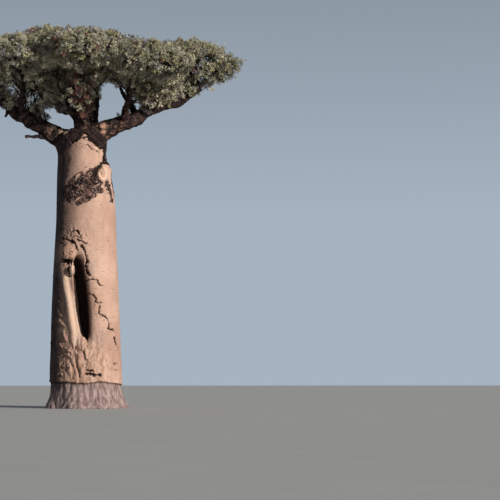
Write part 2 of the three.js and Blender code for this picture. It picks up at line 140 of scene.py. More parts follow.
# Limbs: spread and drop at the fork, or parent and share; then aim, radii and lift.
FORK = np.array([-0.45, 0.0, 15.35])
BOUGHS = {
    "bough_west": (0.45, 0.40, (184, 34), (0.55, 0.26), 0.3),
    "bough_east": (0.50, 0.03, (0, 32), (0.60, 0.20), 0.05),
    "bough_northeast": (0.40, 0.00, (50, 36), (0.44, 0.20), 0.3),
    "bough_northwest": (0.45, 0.25, (132, 32), (0.42, 0.20), 0.35),
    "bough_south": (0.35, 0.00, (280, 45), (0.34, 0.18), 0.3),
    "bough_top_west": (-0.20, 0.00, (186, 70), (0.30, 0.18), 0.2),
    "bough_top_south": (-0.62, 0.00, (200, 72), (0.27, 0.17), 0.3),
}
BRANCHES = {
    "branch_back_high": ("bough_northeast", 0.12, (80, 58), (0.18, 0.12), 0.5),
    "branch_north": ("branch_back_high", 0.35, (140, 15), (0.16, 0.12), 0.3),
    "branch_southwest": ("bough_west", 0.50, (235, 40), (0.22, 0.15), 0.3),
    "branch_southeast": ("bough_east", 0.30, (285, 35), (0.22, 0.15), 0.3),
    "branch_top_east": ("bough_east", 0.44, (165, 50), (0.18, 0.13), 0.3),
    "branch_top_north": ("bough_top_west", 0.30, (70, 50), (0.20, 0.14), 0.35),
    "branch_low_east": ("bough_east", 0.55, (320, 45), (0.13, 0.09), 0.3),
    "branch_low_west": ("bough_west", 0.34, (230, 50), (0.14, 0.10), 0.3),
    "branch_heart": ("bough_south", 0.40, (262, 15), (0.11, 0.08), 0.3),
}
STUBS = {
    "stub_west": ("bough_west", 0.12, (186, 0), 2.10, (0.17, 0.11)),
    "knob_west": ("bough_west", 0.70, (200, -70), 0.56, (0.13, 0.10)),
}
# Shape of the limbs' curves, and their swell at the root and taper.
HANDLE_LEAVE = 0.36
HANDLE_ARRIVE = 0.3
SWELL_SHARE = 0.2
SWELL_FADE = 9
TAPER_POWER = 0.8
LIMB_SAMPLES = 24
ARC_STEPS = 200

# The source's foliage rule, as shares of the mass's half sizes, with the room that foliage keeps.
HEART = (-0.05, 0, -0.15)
CORE_DRAWS = 9
KNEE = 0.4
TIP = 0.6
FORK_SPREAD = 0.4
SPRAYS_PER_TIP = 2
LOWEST_TWIG = -0.5
GOLDEN_TURN = math.pi * (3 - math.sqrt(5))
ROOM_LIMB = 0.06
ROOM_SPACE = 1.1
ROOM_NEIGHBOUR = 0.02

# Finer growth: number of leaves, where the masses are denser, and how far out they reach.
LEAVES = 74000
LEAVES_PER_SPRIG = 7
SPRIGS_PER_BRANCHLET = 6
DENSER = {"mass_heart": 2.5, "mass_low_east": 1.2, "mass_low_west": 1.2, "mass_east": 1.12}
LESS_HIGH = {"mass_top_west": 0.18, "mass_top_south": 0.07, "mass_top_north": 0.08}
LESS_OUT = {"mass_east": 0.0}
LESS_LOW = {"mass_east": 0.5}
REACH = {"most": 1.12, "flatter": 0.2, "rim": 0.17, "rim_high": 0.2, "shoulders": 0.22}
BEHIND_REACH = 0.14
# Branchlets: how many more than needed, from the top down how far they spread, and how many stay low down.
SPARE_BRANCHLETS = 1.25
BRANCHLET_SPAN = 1.85
LOW_LIFT = -0.35
LOW_KEPT = 0.55
# Length of the sprigs on branchlets, shoots and spurs, and of the spurs.
SPRIG_LENGTH = (0.24, 0.52)
SHOOT_SPRIG_LENGTH = (0.25, 0.5)
SPUR_SPRIG_LENGTH = (0.18, 0.36)
SPUR_LENGTH = (0.1, 0.35)
# Each kind of twig: radii at root and tip, bow, and points along it.
TWIG_KINDS = {
    "main": {"radii": (0.085, 0.06), "bow": 0.05, "points": 6},
    "forked": {"radii": (0.06, 0.035), "bow": 0.05, "points": 6},
    "branchlet": {"radii": (0.028, 0.012), "bow": 0.06, "points": 4},
    "sprig": {"radii": (0.011, 0.005), "bow": 0.04, "points": 2},
    "spur": {"radii": (0.022, 0.012), "bow": 0.02, "points": 3},
}
SHOOTS_PER_METRE = 5
SHOOT_SPRIGS = 9
SPURS_PER_METRE = 9
SPUR_SPRIGS = 3
# Windows of sky between boughs and leaves, as the camera sees them in the plane of the trunk: X and height.
OPEN_WINDOWS = [
    ((-2.35, -0.5), (15.8, 16.8)),
    ((0.45, 2.1), (16.8, 18.4)),
    ((2.1, 2.9), (17.2, 17.7)),
]
# Windows that thin twigs cross.
VEILED_WINDOWS = [
    ((-4.80, -4.10), (17.55, 18.25)),
    ((-4.05, -2.90), (17.25, 18.00)),
    ((-4.30, -3.45), (18.05, 18.60)),
]
SKY_WINDOWS = OPEN_WINDOWS + VEILED_WINDOWS
WINDOW_LEAVES = 0.16
MOST_TRIANGLES = 195000

# Skins of the trunk and the boughs: voxels, sides and steps of the swept limbs, and how those wander.
TRUNK_VOXEL = 0.036
BOUGH_VOXEL = 0.034
LIP_STATIONS = 24
LIMB_SIDES = 20
BRANCH_SIDES = 14
STEM_SIDES = 12
FORK_REACH = 1.6
TIP_THINNING = 0.42
SWAY = 0.16
SWAY_RADIUS = 0.3
STEM_SWAY = 0.10


def seeded(seed):
    """Random numbers from 0 to 1 by the source's rule."""
    state = seed

    def draw():
        nonlocal state
        state = state * 16807 % 2147483647
        return state / 2147483647

    return draw


def direction(bearing, rise):
    """The direction at a bearing from +X and a rise over the level, in degrees."""
    turn, tilt = math.radians(bearing), math.radians(rise)
    return np.array([
        math.cos(tilt) * math.cos(turn),
        math.cos(tilt) * math.sin(turn),
        math.sin(tilt),
    ])


def unit(vectors):
    vectors = np.asarray(vectors, float)
    length = np.linalg.norm(vectors, axis=-1, keepdims=True)
    return vectors / np.maximum(length, 1e-9)


def square_to(along):
    """Two directions square to a third one."""
    reference = (0, 1, 0) if abs(along[2]) > 0.95 else (0, 0, 1)
    side = unit(np.cross(along, reference))
    return side, np.cross(side, along)


def square_to_all(along):
    """Two directions square to each of many."""
    helper = np.where(np.abs(along[:, 2:]) > 0.9, (0.0, 1.0, 0.0), (0.0, 0.0, 1.0))
    side = unit(np.cross(along, helper))
    return side, np.cross(along, side)


def smooth_step(low, high, values):
    """0 at low, 1 at high and an even curve between them. Low may be the greater one."""
    t = np.clip((values - low) / (high - low), 0, 1)
    return t * t * (3 - 2 * t)


def trunk_value(column, heights):
    """Radius (1) or lean (2) of the trunk at heights, on the source's smooth curve."""
    heights = np.asarray(heights, float)
    last = len(TRUNK_LEVELS) - 1
    i = np.clip(np.searchsorted(TRUNK_LEVELS[:, 0], heights) - 1, 0, last - 1)
    before, after = np.maximum(i - 1, 0), np.minimum(i + 2, last)
    h, v = TRUNK_LEVELS[:, 0], TRUNK_LEVELS[:, column]
    span = h[i + 1] - h[i]
    slope_a = (v[i + 1] - v[before]) / (h[i + 1] - h[before]) * span
    slope_b = (v[after] - v[i]) / (h[after] - h[i]) * span
    t = (heights - h[i]) / span
    rest = 1 - t
    between = v[i] * (1 + 2 * t) * rest**2 + v[i + 1] * t**2 * (3 - 2 * t)
    return between + slope_a * t * rest**2 - slope_b * t**2 * rest


def ledge_height(turn):
    return np.interp(turn, LEDGE_LINE[:, 0], LEDGE_LINE[:, 1])


class Limb:
    """A cubic curve with a tapering radius, read by its share of the length."""

    def __init__(self, points, radii):
        self.points = np.array(points, float)
        self.radii = radii
        t = np.linspace(0, 1, ARC_STEPS + 1)
        places = self._bezier(t)
        steps = np.linalg.norm(np.diff(places, axis=0), axis=1)
        self.arc = np.concatenate([[0], np.cumsum(steps)])
        self.t = t
        self.length = self.arc[-1]

    def _bezier(self, t):
        t = np.asarray(t, float)[..., None]
        a, b, c, d = self.points
        rest = 1 - t
        return a * rest**3 + 3 * b * rest**2 * t + 3 * c * rest * t**2 + d * t**3

    def at(self, share):
        return self._bezier(np.interp(np.asarray(share) * self.length, self.arc, self.t))

    def heading(self, share):
        near = 1e-3
        ahead = np.minimum(np.asarray(share) + near, 1)
        return unit(self.at(ahead) - self.at(ahead - near))

    def radius(self, share):
        root, tip = self.radii
        share = np.asarray(share, float)
        swell = root * SWELL_SHARE * np.exp(-share * SWELL_FADE)
        return root + (tip - root) * share**TAPER_POWER + swell


class Space:
    """The ellipsoidal space that a mass of foliage keeps to."""

    def __init__(self, bearing, reach, heights, half):
        outwards = direction(bearing, 0)
        self.centre = outwards * reach + (CROWN_AXIS_X, 0, sum(heights) / 2)
        self.half = np.array([*half, (heights[1] - heights[0]) / 2])
        self.axes = np.array([outwards, np.cross((0, 0, 1), outwards), (0, 0, 1)])

    def place(self, shares):
        return self.centre + (np.asarray(shares) * self.half) @ self.axes

    def shares(self, points):
        return (np.asarray(points) - self.centre) @ self.axes.T / self.half


def limb_between(start, aim, foot, radii, lift):
    chord = foot - start
    span = np.linalg.norm(chord)
    arrival = unit(chord / span * (1 - lift) + np.array([0, 0, lift]))
    leave = start + direction(*aim) * span * HANDLE_LEAVE
    arrive = foot - arrival * span * HANDLE_ARRIVE
    return Limb([start, leave, arrive, foot], radii)


def grow_limbs(spaces):
    """Every limb by name, and the limb that carries each mass."""
    limbs, carriers = {}, {}

    def carry(name, start, aim, radii, lift):
        mass = "mass_" + name.split("_", 1)[1]
        foot = spaces[mass].place(OWN_FOOT.get(mass, USUAL_FOOT))
        limbs[name] = carriers[mass] = limb_between(start, aim, foot, radii, lift)

    for name, (spread, drop, aim, radii, lift) in BOUGHS.items():
        start = FORK + direction(aim[0], 0) * spread - (0, 0, drop)
        carry(name, start, aim, radii, lift)
    for name, (parent, share, aim, radii, lift) in BRANCHES.items():
        carry(name, limbs[parent].at(share), aim, radii, lift)
    for name, (parent, share, aim, length, radii) in STUBS.items():
        start = limbs[parent].at(share)
        end = start + direction(*aim) * length
        limbs[name] = Limb([start, start + (end - start) / 3, end - (end - start) / 3, end], radii)
    return limbs, carriers


# Bark: solid forms joined by a fine remesh, then given their relief.


def new_object(name, mesh):
    piece = bpy.data.objects.new(name, mesh)
    bpy.context.scene.collection.objects.link(piece)
    return piece


def sweep(bm, centres, radii, sides):
    """A closed round limb through centres, extruded ring by ring."""
    made = bmesh.ops.create_circle(bm, cap_ends=True, segments=sides, radius=1)
    ring = made["verts"]
    edges = [e for e in bm.edges if e.verts[0] in ring and e.verts[1] in ring]
    shape = [v.co.copy() for v in ring]
    side = None
    for i, centre in enumerate(centres):
        along = unit(centres[min(i + 1, len(centres) - 1)] - centres[max(i - 1, 0)])
        if side is None:
            side, _ = square_to(along)
        side = unit(side - along * (side @ along))
        over = np.cross(along, side)
        if i > 0:
            made = bmesh.ops.extrude_edge_only(bm, edges=edges)["geom"]
            fresh = {v for v in made if isinstance(v, bmesh.types.BMVert)}
            edges = [e for e in made if isinstance(e, bmesh.types.BMEdge) and set(e.verts) <= fresh]
            pairs = {}
            for v in ring:
                pairs[v] = next(e.other_vert(v) for e in v.link_edges if e.other_vert(v) in fresh)
            ring = [pairs[v] for v in ring]
        for v, unit_place in zip(ring, shape):
            place = centre + radii[i] * (side * unit_place.x + over * unit_place.y)
            v.co = Vector(place)
    bmesh.ops.contextual_create(bm, geom=edges)


def ball(bm, centre, half, detail=3):
    place = Matrix.Translation(centre) @ Matrix.Diagonal((*half, 1))
    bmesh.ops.create_icosphere(bm, subdivisions=detail, radius=1, matrix=place)


def spin_trunk(bm):
    """The trunk as a profile spun round its axis, with the root lobes and the lean."""
    top = TRUNK_LEVELS[-1, 0]
    heights = np.linspace(0, top, int(top / TRUNK_RING_STEP))
    radii = trunk_value(1, heights)
    line = [bm.verts.new((0, 0, 0))]
    line += [bm.verts.new((r, 0, h)) for r, h in zip(radii, heights)]
    line += [bm.verts.new((0, 0, top))]
    edges = [bm.edges.new(pair) for pair in zip(line, line[1:])]
    bmesh.ops.spin(
        bm, geom=line + edges, axis=(0, 0, 1), cent=(0, 0, 0), angle=2 * math.pi,
        steps=TRUNK_SPIN_STEPS, use_merge=True,
    )
    bmesh.ops.remove_doubles(bm, verts=bm.verts, dist=1e-5)
    for v in bm.verts:
        nearness = max(0, 1 - abs(v.co.z - LEDGE_HEIGHT) / LEDGE_REACH)
        rise = float(ledge_height(math.atan2(v.co.x, -v.co.y))) - LEDGE_HEIGHT
        v.co.z += rise * nearness
        fade = ROOT_LOBES["share"] * max(0, 1 - v.co.z / ROOT_LOBES["height"])
        turn = ROOT_LOBES["count"] * math.atan2(v.co.y, v.co.x) + ROOT_LOBES["turn"]
        lobes = 1 + fade * math.cos(turn)
        v.co.x = v.co.x * lobes + float(trunk_value(2, v.co.z))
        v.co.y *= lobes
    bmesh.ops.recalc_face_normals(bm, faces=bm.faces)


def cut_cleft(bm_trunk):
    """Cuts the deep cleft out of the trunk."""
    cutter = bmesh.new()
    ball(cutter, CLEFT["centre"], CLEFT["half"], detail=4)
    centre_z = CLEFT["centre"][2]
    for v in cutter.verts:
        share = (v.co.z - centre_z) / CLEFT["half"][2]
        v.co.z = centre_z + math.copysign(abs(share) ** CLEFT["blunt"], share) * CLEFT["half"][2]
        v.co.x -= CLEFT["lean"] * (v.co.z - centre_z)
    trunk_mesh, cutter_mesh = bpy.data.meshes.new("trunk_whole"), bpy.data.meshes.new("cleft_hollow")
    bm_trunk.to_mesh(trunk_mesh)
    cutter.to_mesh(cutter_mesh)
    cutter.free()
    whole, hollow = new_object("trunk_whole", trunk_mesh), new_object("cleft_hollow", cutter_mesh)
    cut = whole.modifiers.new("cleft", "BOOLEAN")
    cut.operation = "DIFFERENCE"
    cut.object = hollow
    cut.solver = "EXACT"
    mesh = baked(whole)
    bpy.data.objects.remove(whole)
    bpy.data.objects.remove(hollow)
    bm_trunk.clear()
    bm_trunk.from_mesh(mesh)
    bpy.data.meshes.remove(mesh)


def baked(piece):
    """The mesh of a piece with its modifiers applied."""
    graph = bpy.context.evaluated_depsgraph_get()
    graph.update()
    return bpy.data.meshes.new_from_object(piece.evaluated_get(graph))


def remeshed(name, bm, voxel, smoothing):
    """One even skin round everything in bm, without the voxel steps."""
    rough = bpy.data.meshes.new(name + "_solid")
    bm.to_mesh(rough)
    piece = new_object(name + "_solid", rough)
    skin = piece.modifiers.new("skin", "REMESH")
    skin.mode = "VOXEL"
    skin.voxel_size = voxel
    even = piece.modifiers.new("even", "SMOOTH")
    even.factor = 0.5
    even.iterations = smoothing
    mesh = baked(piece)
    bpy.data.objects.remove(piece)
    bpy.data.meshes.remove(rough)
    mesh.name = name
    return mesh


def read_points(mesh, what="co"):
    source = mesh.vertices if what == "co" else mesh.vertex_normals
    values = np.zeros(len(mesh.vertices) * 3, np.float32)
    source.foreach_get("co" if what == "co" else "vector", values)
    return values.reshape(-1, 3).astype(float)


def write_points(mesh, points):
    mesh.vertices.foreach_set("co", points.astype(np.float32).ravel())
    mesh.update()


def paint(mesh, name, values):
    """Keeps a value for each point of the skin, which the bark's material reads."""
    layer = mesh.attributes.new(name, "FLOAT", "POINT")
    layer.data.foreach_set("value", np.clip(values, 0, 1).astype(np.float32))


def wander(points, scale, offset, octaves=3):
    """Fractal noise at points, about -1 to 1."""
    shift = Vector((offset, offset * 1.7, -offset))
    scale = Vector(np.broadcast_to(scale, 3))
    return np.array([
        noise.fractal(Vector(p) * scale + shift, 0.9, 2.1, octaves) for p in points.tolist()
    ])


def wander_aside(points, scale, offset):
    """A wandering shift of each point in three directions."""
    return np.stack([wander(points, scale, offset + 7 * k, 2) for k in range(3)], axis=1)


def lip_centres(count):
    """Centres and radii along the lip, sunk into the bark at its top and foot."""
    t = np.linspace(0, 1, count)
    x = LIP["top"][0] + (LIP["foot"][0] - LIP["top"][0]) * t**LIP["bend"]
    z = LIP["top"][1] + (LIP["foot"][1] - LIP["top"][1]) * t
    proud = LIP["top"][2] + (LIP["foot"][2] - LIP["top"][2]) * t**LIP["sinking"]
    proud -= LIP["sunk_top"] * np.exp(-((t / 0.10) ** 2))
    radii = LIP["radii"][0] + (LIP["radii"][1] - LIP["radii"][0]) * t
    reach = trunk_value(1, z) + proud - radii
    y = -np.sqrt(reach**2 - (x - trunk_value(2, z)) ** 2)
    return np.stack([x, y, z], axis=1), radii


# Lines of torn bark on the front, as X and height, with their width, depth and raised edge.
TEARS = {
    "beside_cleft": (
        [(-0.36, 8.99), (-0.25, 8.80), (-0.11, 8.54), (-0.06, 8.25),
         (-0.10, 7.90), (-0.01, 7.60), (0.10, 7.35)],
        0.085, 0.16, 0.05,
    ),
    "under_burr": ([(-1.38, 8.26), (-1.20, 8.12), (-0.98, 8.10)], 0.17, 0.30, 0.0),
    "knob_slit": ([(-1.06, 7.80), (-1.07, 7.55), (-1.00, 7.30)], 0.085, 0.20, 0.0),
    "flap_high": ([(-0.03, 7.09), (0.26, 7.16), (0.48, 7.12), (0.58, 6.95), (0.74, 6.79)], 0.055, 0.1, -0.07),
    "flap_low": ([(0.02, 6.29), (0.32, 6.23), (0.53, 6.05), (0.44, 5.81), (0.74, 5.84)], 0.055, 0.08, -0.06),
    "long_tear": (
        [(0.65, 5.63), (0.68, 5.26), (1.04, 5.02), (1.22, 4.66), (1.16, 4.42), (1.50, 4.33), (1.56, 4.08)],
        0.065, 0.1, 0.06,
    ),
    "over_burr": ([(-1.42, 9.46), (-1.20, 9.40), (-0.95, 9.25), (-0.70, 9.17)], 0.075, 0.12, -0.07),
    "arch": ([(-1.00, 9.58), (-0.90, 9.76), (-0.68, 9.82), (-0.50, 9.72), (-0.38, 9.48)], 0.055, 0.09, -0.07),
    "foot_holes": ([(-0.02, 1.88), (0.37, 1.86), (0.77, 1.82)], 0.085, 0.24, 0.03),
    "foot_holes_high": ([(0.05, 2.14), (0.14, 2.02), (0.38, 2.02)], 0.07, 0.2, 0.02),
    "foot_right": ([(1.50, 2.44), (1.74, 2.52)], 0.04, 0.06, 0.05),
    "foot_right_low": ([(1.36, 2.20), (1.54, 2.08), (1.66, 2.14), (1.80, 2.12)], 0.04, 0.06, 0.05),
    "foot_left": ([(-1.20, 2.10), (-0.98, 2.18), (-0.88, 2.36)], 0.05, 0.07, 0.05),
    "scar_seam": ([(-0.62, 3.40), (-0.45, 2.90), (-0.52, 2.30), (-0.38, 1.75)], 0.06, 0.05, 0.03),
    "scar_seam_right": ([(-0.20, 3.10), (0.02, 2.60), (-0.05, 2.20)], 0.045, 0.05, 0.04),
    "shoulder_crease": (
        [(0.90, 14.05), (0.74, 13.69), (0.46, 13.42), (0.44, 13.2), (0.34, 13.0)],
        0.17, 0.22, 0.0,
    ),
    "neck_fold": ([(-0.26, 15.4), (0.17, 14.94), (0.53, 14.67), (0.80, 14.60)], 0.07, 0.10, 0.06),
    "neck_fold_low": ([(-0.14, 14.71), (0.33, 14.47), (0.60, 14.30)], 0.045, 0.07, 0.05),
    "neck_fold_high": ([(0.02, 15.53), (0.41, 15.22), (0.80, 14.94)], 0.07, 0.10, 0.06),
    "neck_fold_left": ([(-0.95, 14.85), (-0.6, 15.05), (-0.26, 15.12)], 0.06, 0.09, 0.05),
    "over_burr_right": ([(-0.56, 9.32), (-0.30, 9.18), (-0.10, 9.08)], 0.06, 0.1, -0.06),
    "brow_line": ([(-0.84, 9.44), (-0.66, 9.50), (-0.46, 9.48)], 0.045, 0.07, 0.0),
    "burr_left": ([(-1.52, 9.26), (-1.38, 9.08), (-1.26, 8.95)], 0.05, 0.08, 0.04),
    "burr_side": ([(-1.20, 8.98), (-1.28, 8.75), (-1.20, 8.48)], 0.05, 0.09, 0.0),
    "burr_right": ([(-0.66, 9.10), (-0.62, 8.90), (-0.60, 8.70)], 0.06, 0.1, 0.0),
    "burr_wrinkle": ([(-1.02, 8.60), (-0.76, 8.63)], 0.03, 0.05, 0.0),
    "burr_wrinkle_low": ([(-1.10, 8.40), (-0.76, 8.45)], 0.03, 0.05, 0.0),
    "long_tear_foot": ([(1.52, 3.92), (1.58, 3.68), (1.70, 3.45), (1.80, 3.18)], 0.12, 0.14, 0.08),
}
# How far a tear's raised edge reaches, and the depth from which the painted shade in a tear is black.
EDGE_REACH = 0.25
DEEP_TEAR = 0.09
# Middle of the lip's sunlit side, painted light in pale, and of its shaded side, painted shade in lilac.
LIP_PAINTED_LIGHT = [
    (-0.88, 7.95), (-0.90, 7.50), (-1.13, 7.15), (-1.08, 6.70),
    (-0.89, 6.06), (-0.75, 5.08), (-0.60, 4.26), (-0.53, 3.60),
]
LIP_PAINTED_SHADE = [(-1.40, 7.35), (-1.36, 6.90), (-1.24, 6.20), (-1.08, 5.20)]
# Curled flakes of bark on the shaded left side.
FLAKES = [
    [(-1.73, 7.20), (-1.67, 7.02)],
    [(-1.60, 6.72), (-1.50, 6.62)],
    [(-1.55, 6.02), (-1.50, 5.88)],
    [(-1.62, 5.62), (-1.55, 5.35), (-1.38, 5.12)],
    [(-1.52, 4.92), (-1.38, 4.72), (-1.18, 4.48)],
    [(-1.26, 4.25), (-1.22, 4.00), (-1.08, 3.70)],
    [(-1.44, 3.58), (-1.36, 3.40), (-1.26, 3.22)],
    [(-1.18, 3.36), (-1.02, 3.15), (-0.80, 3.12)],
    [(-1.02, 2.95), (-0.82, 2.78)],
    [(-1.30, 2.35), (-1.05, 2.25), (-0.90, 2.45)],
    [(-1.55, 1.95), (-1.30, 1.85)],
    [(-1.78, 8.05), (-1.74, 7.80)],
    [(-1.88, 4.60), (-1.86, 4.30)],
    [(-1.90, 3.70), (-1.88, 3.35)],
]
FLAKE = {"width": 0.036, "height": 0.12}
# Rough dark bark at the neck: lines of X and height with the half width of the patch.
ROUGH_PATCH = [
    ([(-1.42, 11.95), (-1.10, 12.25), (-0.75, 12.50), (-0.38, 12.75), (0.05, 12.98), (0.40, 13.12)], 0.42),
    ([(-1.15, 11.75), (-0.60, 12.00), (-0.06, 12.28), (0.33, 12.50), (0.55, 12.75)], 0.42),
    ([(-0.55, 11.45), (-0.20, 11.70), (0.25, 11.95), (0.62, 12.25)], 0.24),
    ([(0.90, 12.80), (1.12, 12.35), (1.30, 11.80)], 0.28),
    ([(1.22, 13.40), (1.36, 12.70), (1.46, 12.00)], 0.16),
]
# Strongest value of the patch, to which the material adds its noise.
PATCH_MOST = 0.8
# Where the dark bark of the fork begins round the front, as X and height.
COLLAR_EDGE = np.array([
    [-1.60, 14.35],
    [-1.28, 14.55],
    [-1.00, 14.74],
    [-0.73, 14.90],
    [-0.38, 15.20],
    [-0.22, 15.30],
    [-0.06, 15.02],
    [0.41, 14.72],
    [0.72, 14.52],
    [0.84, 14.05],
    [0.95, 13.70],
    [1.20, 13.50],
])
# Pits in the bark: X, height and size.
PITS = [(0.60, 13.74, 0.06)]
# The ring on the shoulder that a lost bough left.
RING_KNOT = {"x": 0.74, "height": 13.24, "half": (0.28, 0.42)}
# Pale humps round the fork, painted light where the sun falls on the bark: centre and size.
PALE_HUMPS = [
    ((-2.00, -0.58, 15.95), 0.50),
    ((-1.60, -0.68, 15.75), 0.52),
    ((-1.30, -0.85, 15.50), 0.34),
    ((0.80, -0.60, 16.05), 0.42),
    ((0.85, -0.75, 15.70), 0.42),
    ((1.50, -0.55, 15.95), 0.30),
    ((0.45, -1.10, 14.55), 0.30),
    ((-0.10, -0.55, 16.15), 0.26),
    ((-3.60, -0.55, 16.60), 0.22),
    ((2.60, -0.50, 16.70), 0.25),
]
HUMP_MOST = 0.78

# Noises of the trunk's bark: scale, offset and octaves.
BARK_NOISES = {
    "broad": ((0.5, 0.5, 0.35), 21.0, 2),
    "patchy": (3.3, 27.0, 2),
    "knobbly": (2.6, 31.0, 4),
    "ridges": ((2.4, 2.4, 0.9), 37.0, 3),
    "fine": (9.0, 41.0, 3),
    "fibres": ((5.0, 5.0, 0.8), 51.0, 3),
    "sideways": (4.5, 3.0, 3),
    "upwards": (4.5, 11.0, 3),
}
# How far the noise moves the edges of marks and tears aside.
JAG = 0.085
# Heights of each kind of relief on the trunk.
RELIEF = {
    "broad": 0.03,
    "burr": 0.08,
    "scar": 0.10,
    "lower_left": 0.07,
    "rough_knobs": 0.05,
    "rough_grain": 0.03,
    "ring": 0.08,
    "ring_dip": 0.06,
    "lap": 0.035,
    "seam": 0.06,
    "fibres": 0.05,
    "cleft_knobs": 0.03,
    "fine": 0.008,
}
# Spots on the front, by distance round the bark and height: centre, half sizes, and rim and core of the fade.
SPOTS = {
    "scar": ((0.05, 2.6), (0.95, 1.0), (2.0, 1.0)),
    "lower_left": ((-1.1, 2.5), (0.9, 1.2), (1.5, 0.7)),
    "mottled": ((0.75, 3.8), (1.0, 1.2), (0.75, 0.2)),
    "pinkish": ((0.38, 8.0), (1.0, 2.2), (0.45, 0.15)),
}
# Soft glows round the burr and the knob, by X and height: centre and half sizes.
GLOWS = {
    "burr": ((-1.0, 8.6), (0.6, 0.75)),
    "knob": ((-0.84, 7.64), (0.32, 0.42)),
}
# Painted shade on the left, away from the key light: a dark band and a softer gradient; turns between which
# each grows, and its share.
PAINTED_SIDE_SHADE = {"turns": (-0.54, -0.98), "share": 0.97}
SHADE = {"turns": (-0.18, -0.80), "share": 0.55}
# Heights between which the painted shade on the left begins under the fork.
BELOW_FORK = (15.3, 14.9)
# Points lower than this are set on the flat cut.
FLAT_CUT = 0.03


def front_arc(x, z):
    """Distance round the bark from the middle of the front to a point that shows at X."""
    radius = trunk_value(1, z)
    side = np.clip((np.asarray(x) - trunk_value(2, z)) / radius, -0.98, 0.98)
    return np.arcsin(side) * radius


def line_distance(u, z, line):
    """Distance from points on the bark to a line of X and height, and the side of it."""
    knots = np.array([(front_arc(x, h), h) for x, h in line])
    best = np.full(len(u), 1e3)
    side = np.zeros(len(u))
    for (u0, z0), (u1, z1) in zip(knots, knots[1:]):
        du, dz = u1 - u0, z1 - z0
        t = np.clip(((u - u0) * du + (z - z0) * dz) / (du * du + dz * dz), 0, 1)
        off_u, off_z = u - (u0 + t * du), z - (z0 + t * dz)
        distance = np.hypot(off_u, off_z)
        nearer = distance < best
        best = np.where(nearer, distance, best)
        side = np.where(nearer, np.sign(off_u * dz - off_z * du), side)
    return best, side


def rough_field(u, z):
    """How far inside the rough dark bark each point lies, from 0 to 1, with 0.5 at its edge."""
    field = np.zeros(len(z))
    for line, half in ROUGH_PATCH:
        distance, _ = line_distance(u, z, line)
        field = np.maximum(field, PATCH_MOST * smooth_step(1.8 * half, 0.2 * half, distance))
    edge_u = front_arc(COLLAR_EDGE[:, 0], COLLAR_EDGE[:, 1])
    edge = np.interp(u, edge_u, COLLAR_EDGE[:, 1])
    behind = smooth_step(1.6, 2.6, np.abs(u))
    edge = edge * (1 - behind) + (14.55 + 0.25 * np.sin(2.2 * u)) * behind
    return np.maximum(field, smooth_step(-0.35, 0.25, z - edge))


def pale_field(points):
    """Pale humps of bark near the fork: painted light."""
    field = np.zeros(len(points))
    for centre, size in PALE_HUMPS:
        away = np.linalg.norm(points - centre, axis=1)
        field = np.maximum(field, HUMP_MOST * smooth_step(1.7 * size, 0.1 * size, away))
    return field


class Skin:
    """The trunk's skin: its points, the distance u round the bark, and the noises that its relief reads.

    x, y and z are views of the points, so they follow when the points move. All else stays as it was read.
    Each step of the relief adds its height to rise and keeps its own mark here for the material.
    """

    def __init__(self, mesh):
        self.points, self.normals = read_points(mesh), read_points(mesh, "normal")
        self.x, self.y, self.z = self.points.T
        self.lean = trunk_value(2, self.z)
        self.turn = np.arctan2(self.x - self.lean, -self.y)
        self.u = self.turn * trunk_value(1, self.z)
        self.front = self.y < 0
        self.noise = {name: wander(self.points, *how) for name, how in BARK_NOISES.items()}
        self.jag = JAG * self.noise["sideways"]
        self.jag_up = JAG * self.noise["upwards"]
        self.ju, self.jz = self.u + self.jag, self.z + self.jag_up
        self.rise = RELIEF["broad"] * self.noise["broad"]
        self.recess_shade = np.zeros(len(self.z))

    def spot(self, name):
        (u, z), (half_u, half_z), (rim, core) = SPOTS[name]
        away = np.hypot((self.ju - u) / half_u, (self.jz - z) / half_z)
        return smooth_step(rim, core, away) * self.front

    def glow(self, name):
        (x, z), (half_x, half_z) = GLOWS[name]
        return np.exp(-(((self.x - x) / half_x) ** 2 + ((self.z - z) / half_z) ** 2)) * self.front


def tear_bark(skin):
    """Tear lines with a raised edge on one side and painted shade in their grooves, blacker the deeper they
    are, and curled flakes.
    """
    ragged = 0.75 + 0.6 * skin.noise["patchy"]
    lively = 0.8 + 0.6 * skin.noise["fine"]
    for line, width, depth, edge in TEARS.values():
        distance, side = line_distance(skin.ju, skin.jz, line)
        near = skin.front & (distance < 1)
        groove = np.exp(-((distance / (width * ragged)) ** 2))
        plate = np.exp(-distance / EDGE_REACH) * (side * edge > 0) * (1 - groove)
        skin.rise += np.where(near, abs(edge) * plate * lively - depth * groove, 0)
        # Painted shade in the groove, blacker the deeper it is.
        blackness = min(1, depth / DEEP_TEAR) * smooth_step(0.15, 0.75, groove)
        skin.recess_shade = np.maximum(skin.recess_shade, np.where(near, blackness, 0))
    for line in FLAKES:
        distance, _ = line_distance(skin.u + 0.5 * skin.jag, skin.z + 0.5 * skin.jag_up, line)
        curl = np.exp(-((distance / (FLAKE["width"] * ragged)) ** 2))
        skin.rise += np.where(skin.front, FLAKE["height"] * curl, 0)


def swell_bark(skin):
    """Knobs on the burr, plates on the scar and low at the left, and pits with painted shade in them."""
    skin.burr = skin.glow("burr")
    skin.scar, skin.lower_left = skin.spot("scar"), skin.spot("lower_left")
    plated = RELIEF["scar"] * skin.scar + RELIEF["lower_left"] * skin.lower_left
    knobs = RELIEF["burr"] * skin.burr * skin.noise["knobbly"]
    skin.rise += knobs + plated * np.abs(skin.noise["ridges"])
    for x, z, size in PITS:
        away = np.hypot(skin.u - front_arc(x, z), skin.z - z)
        hollow = np.exp(-((away / size) ** 2)) * skin.front
        skin.rise -= 1.2 * size * hollow
        # Painted shade in the pit.
        skin.recess_shade = np.maximum(skin.recess_shade, smooth_step(0.35, 0.95, hollow))


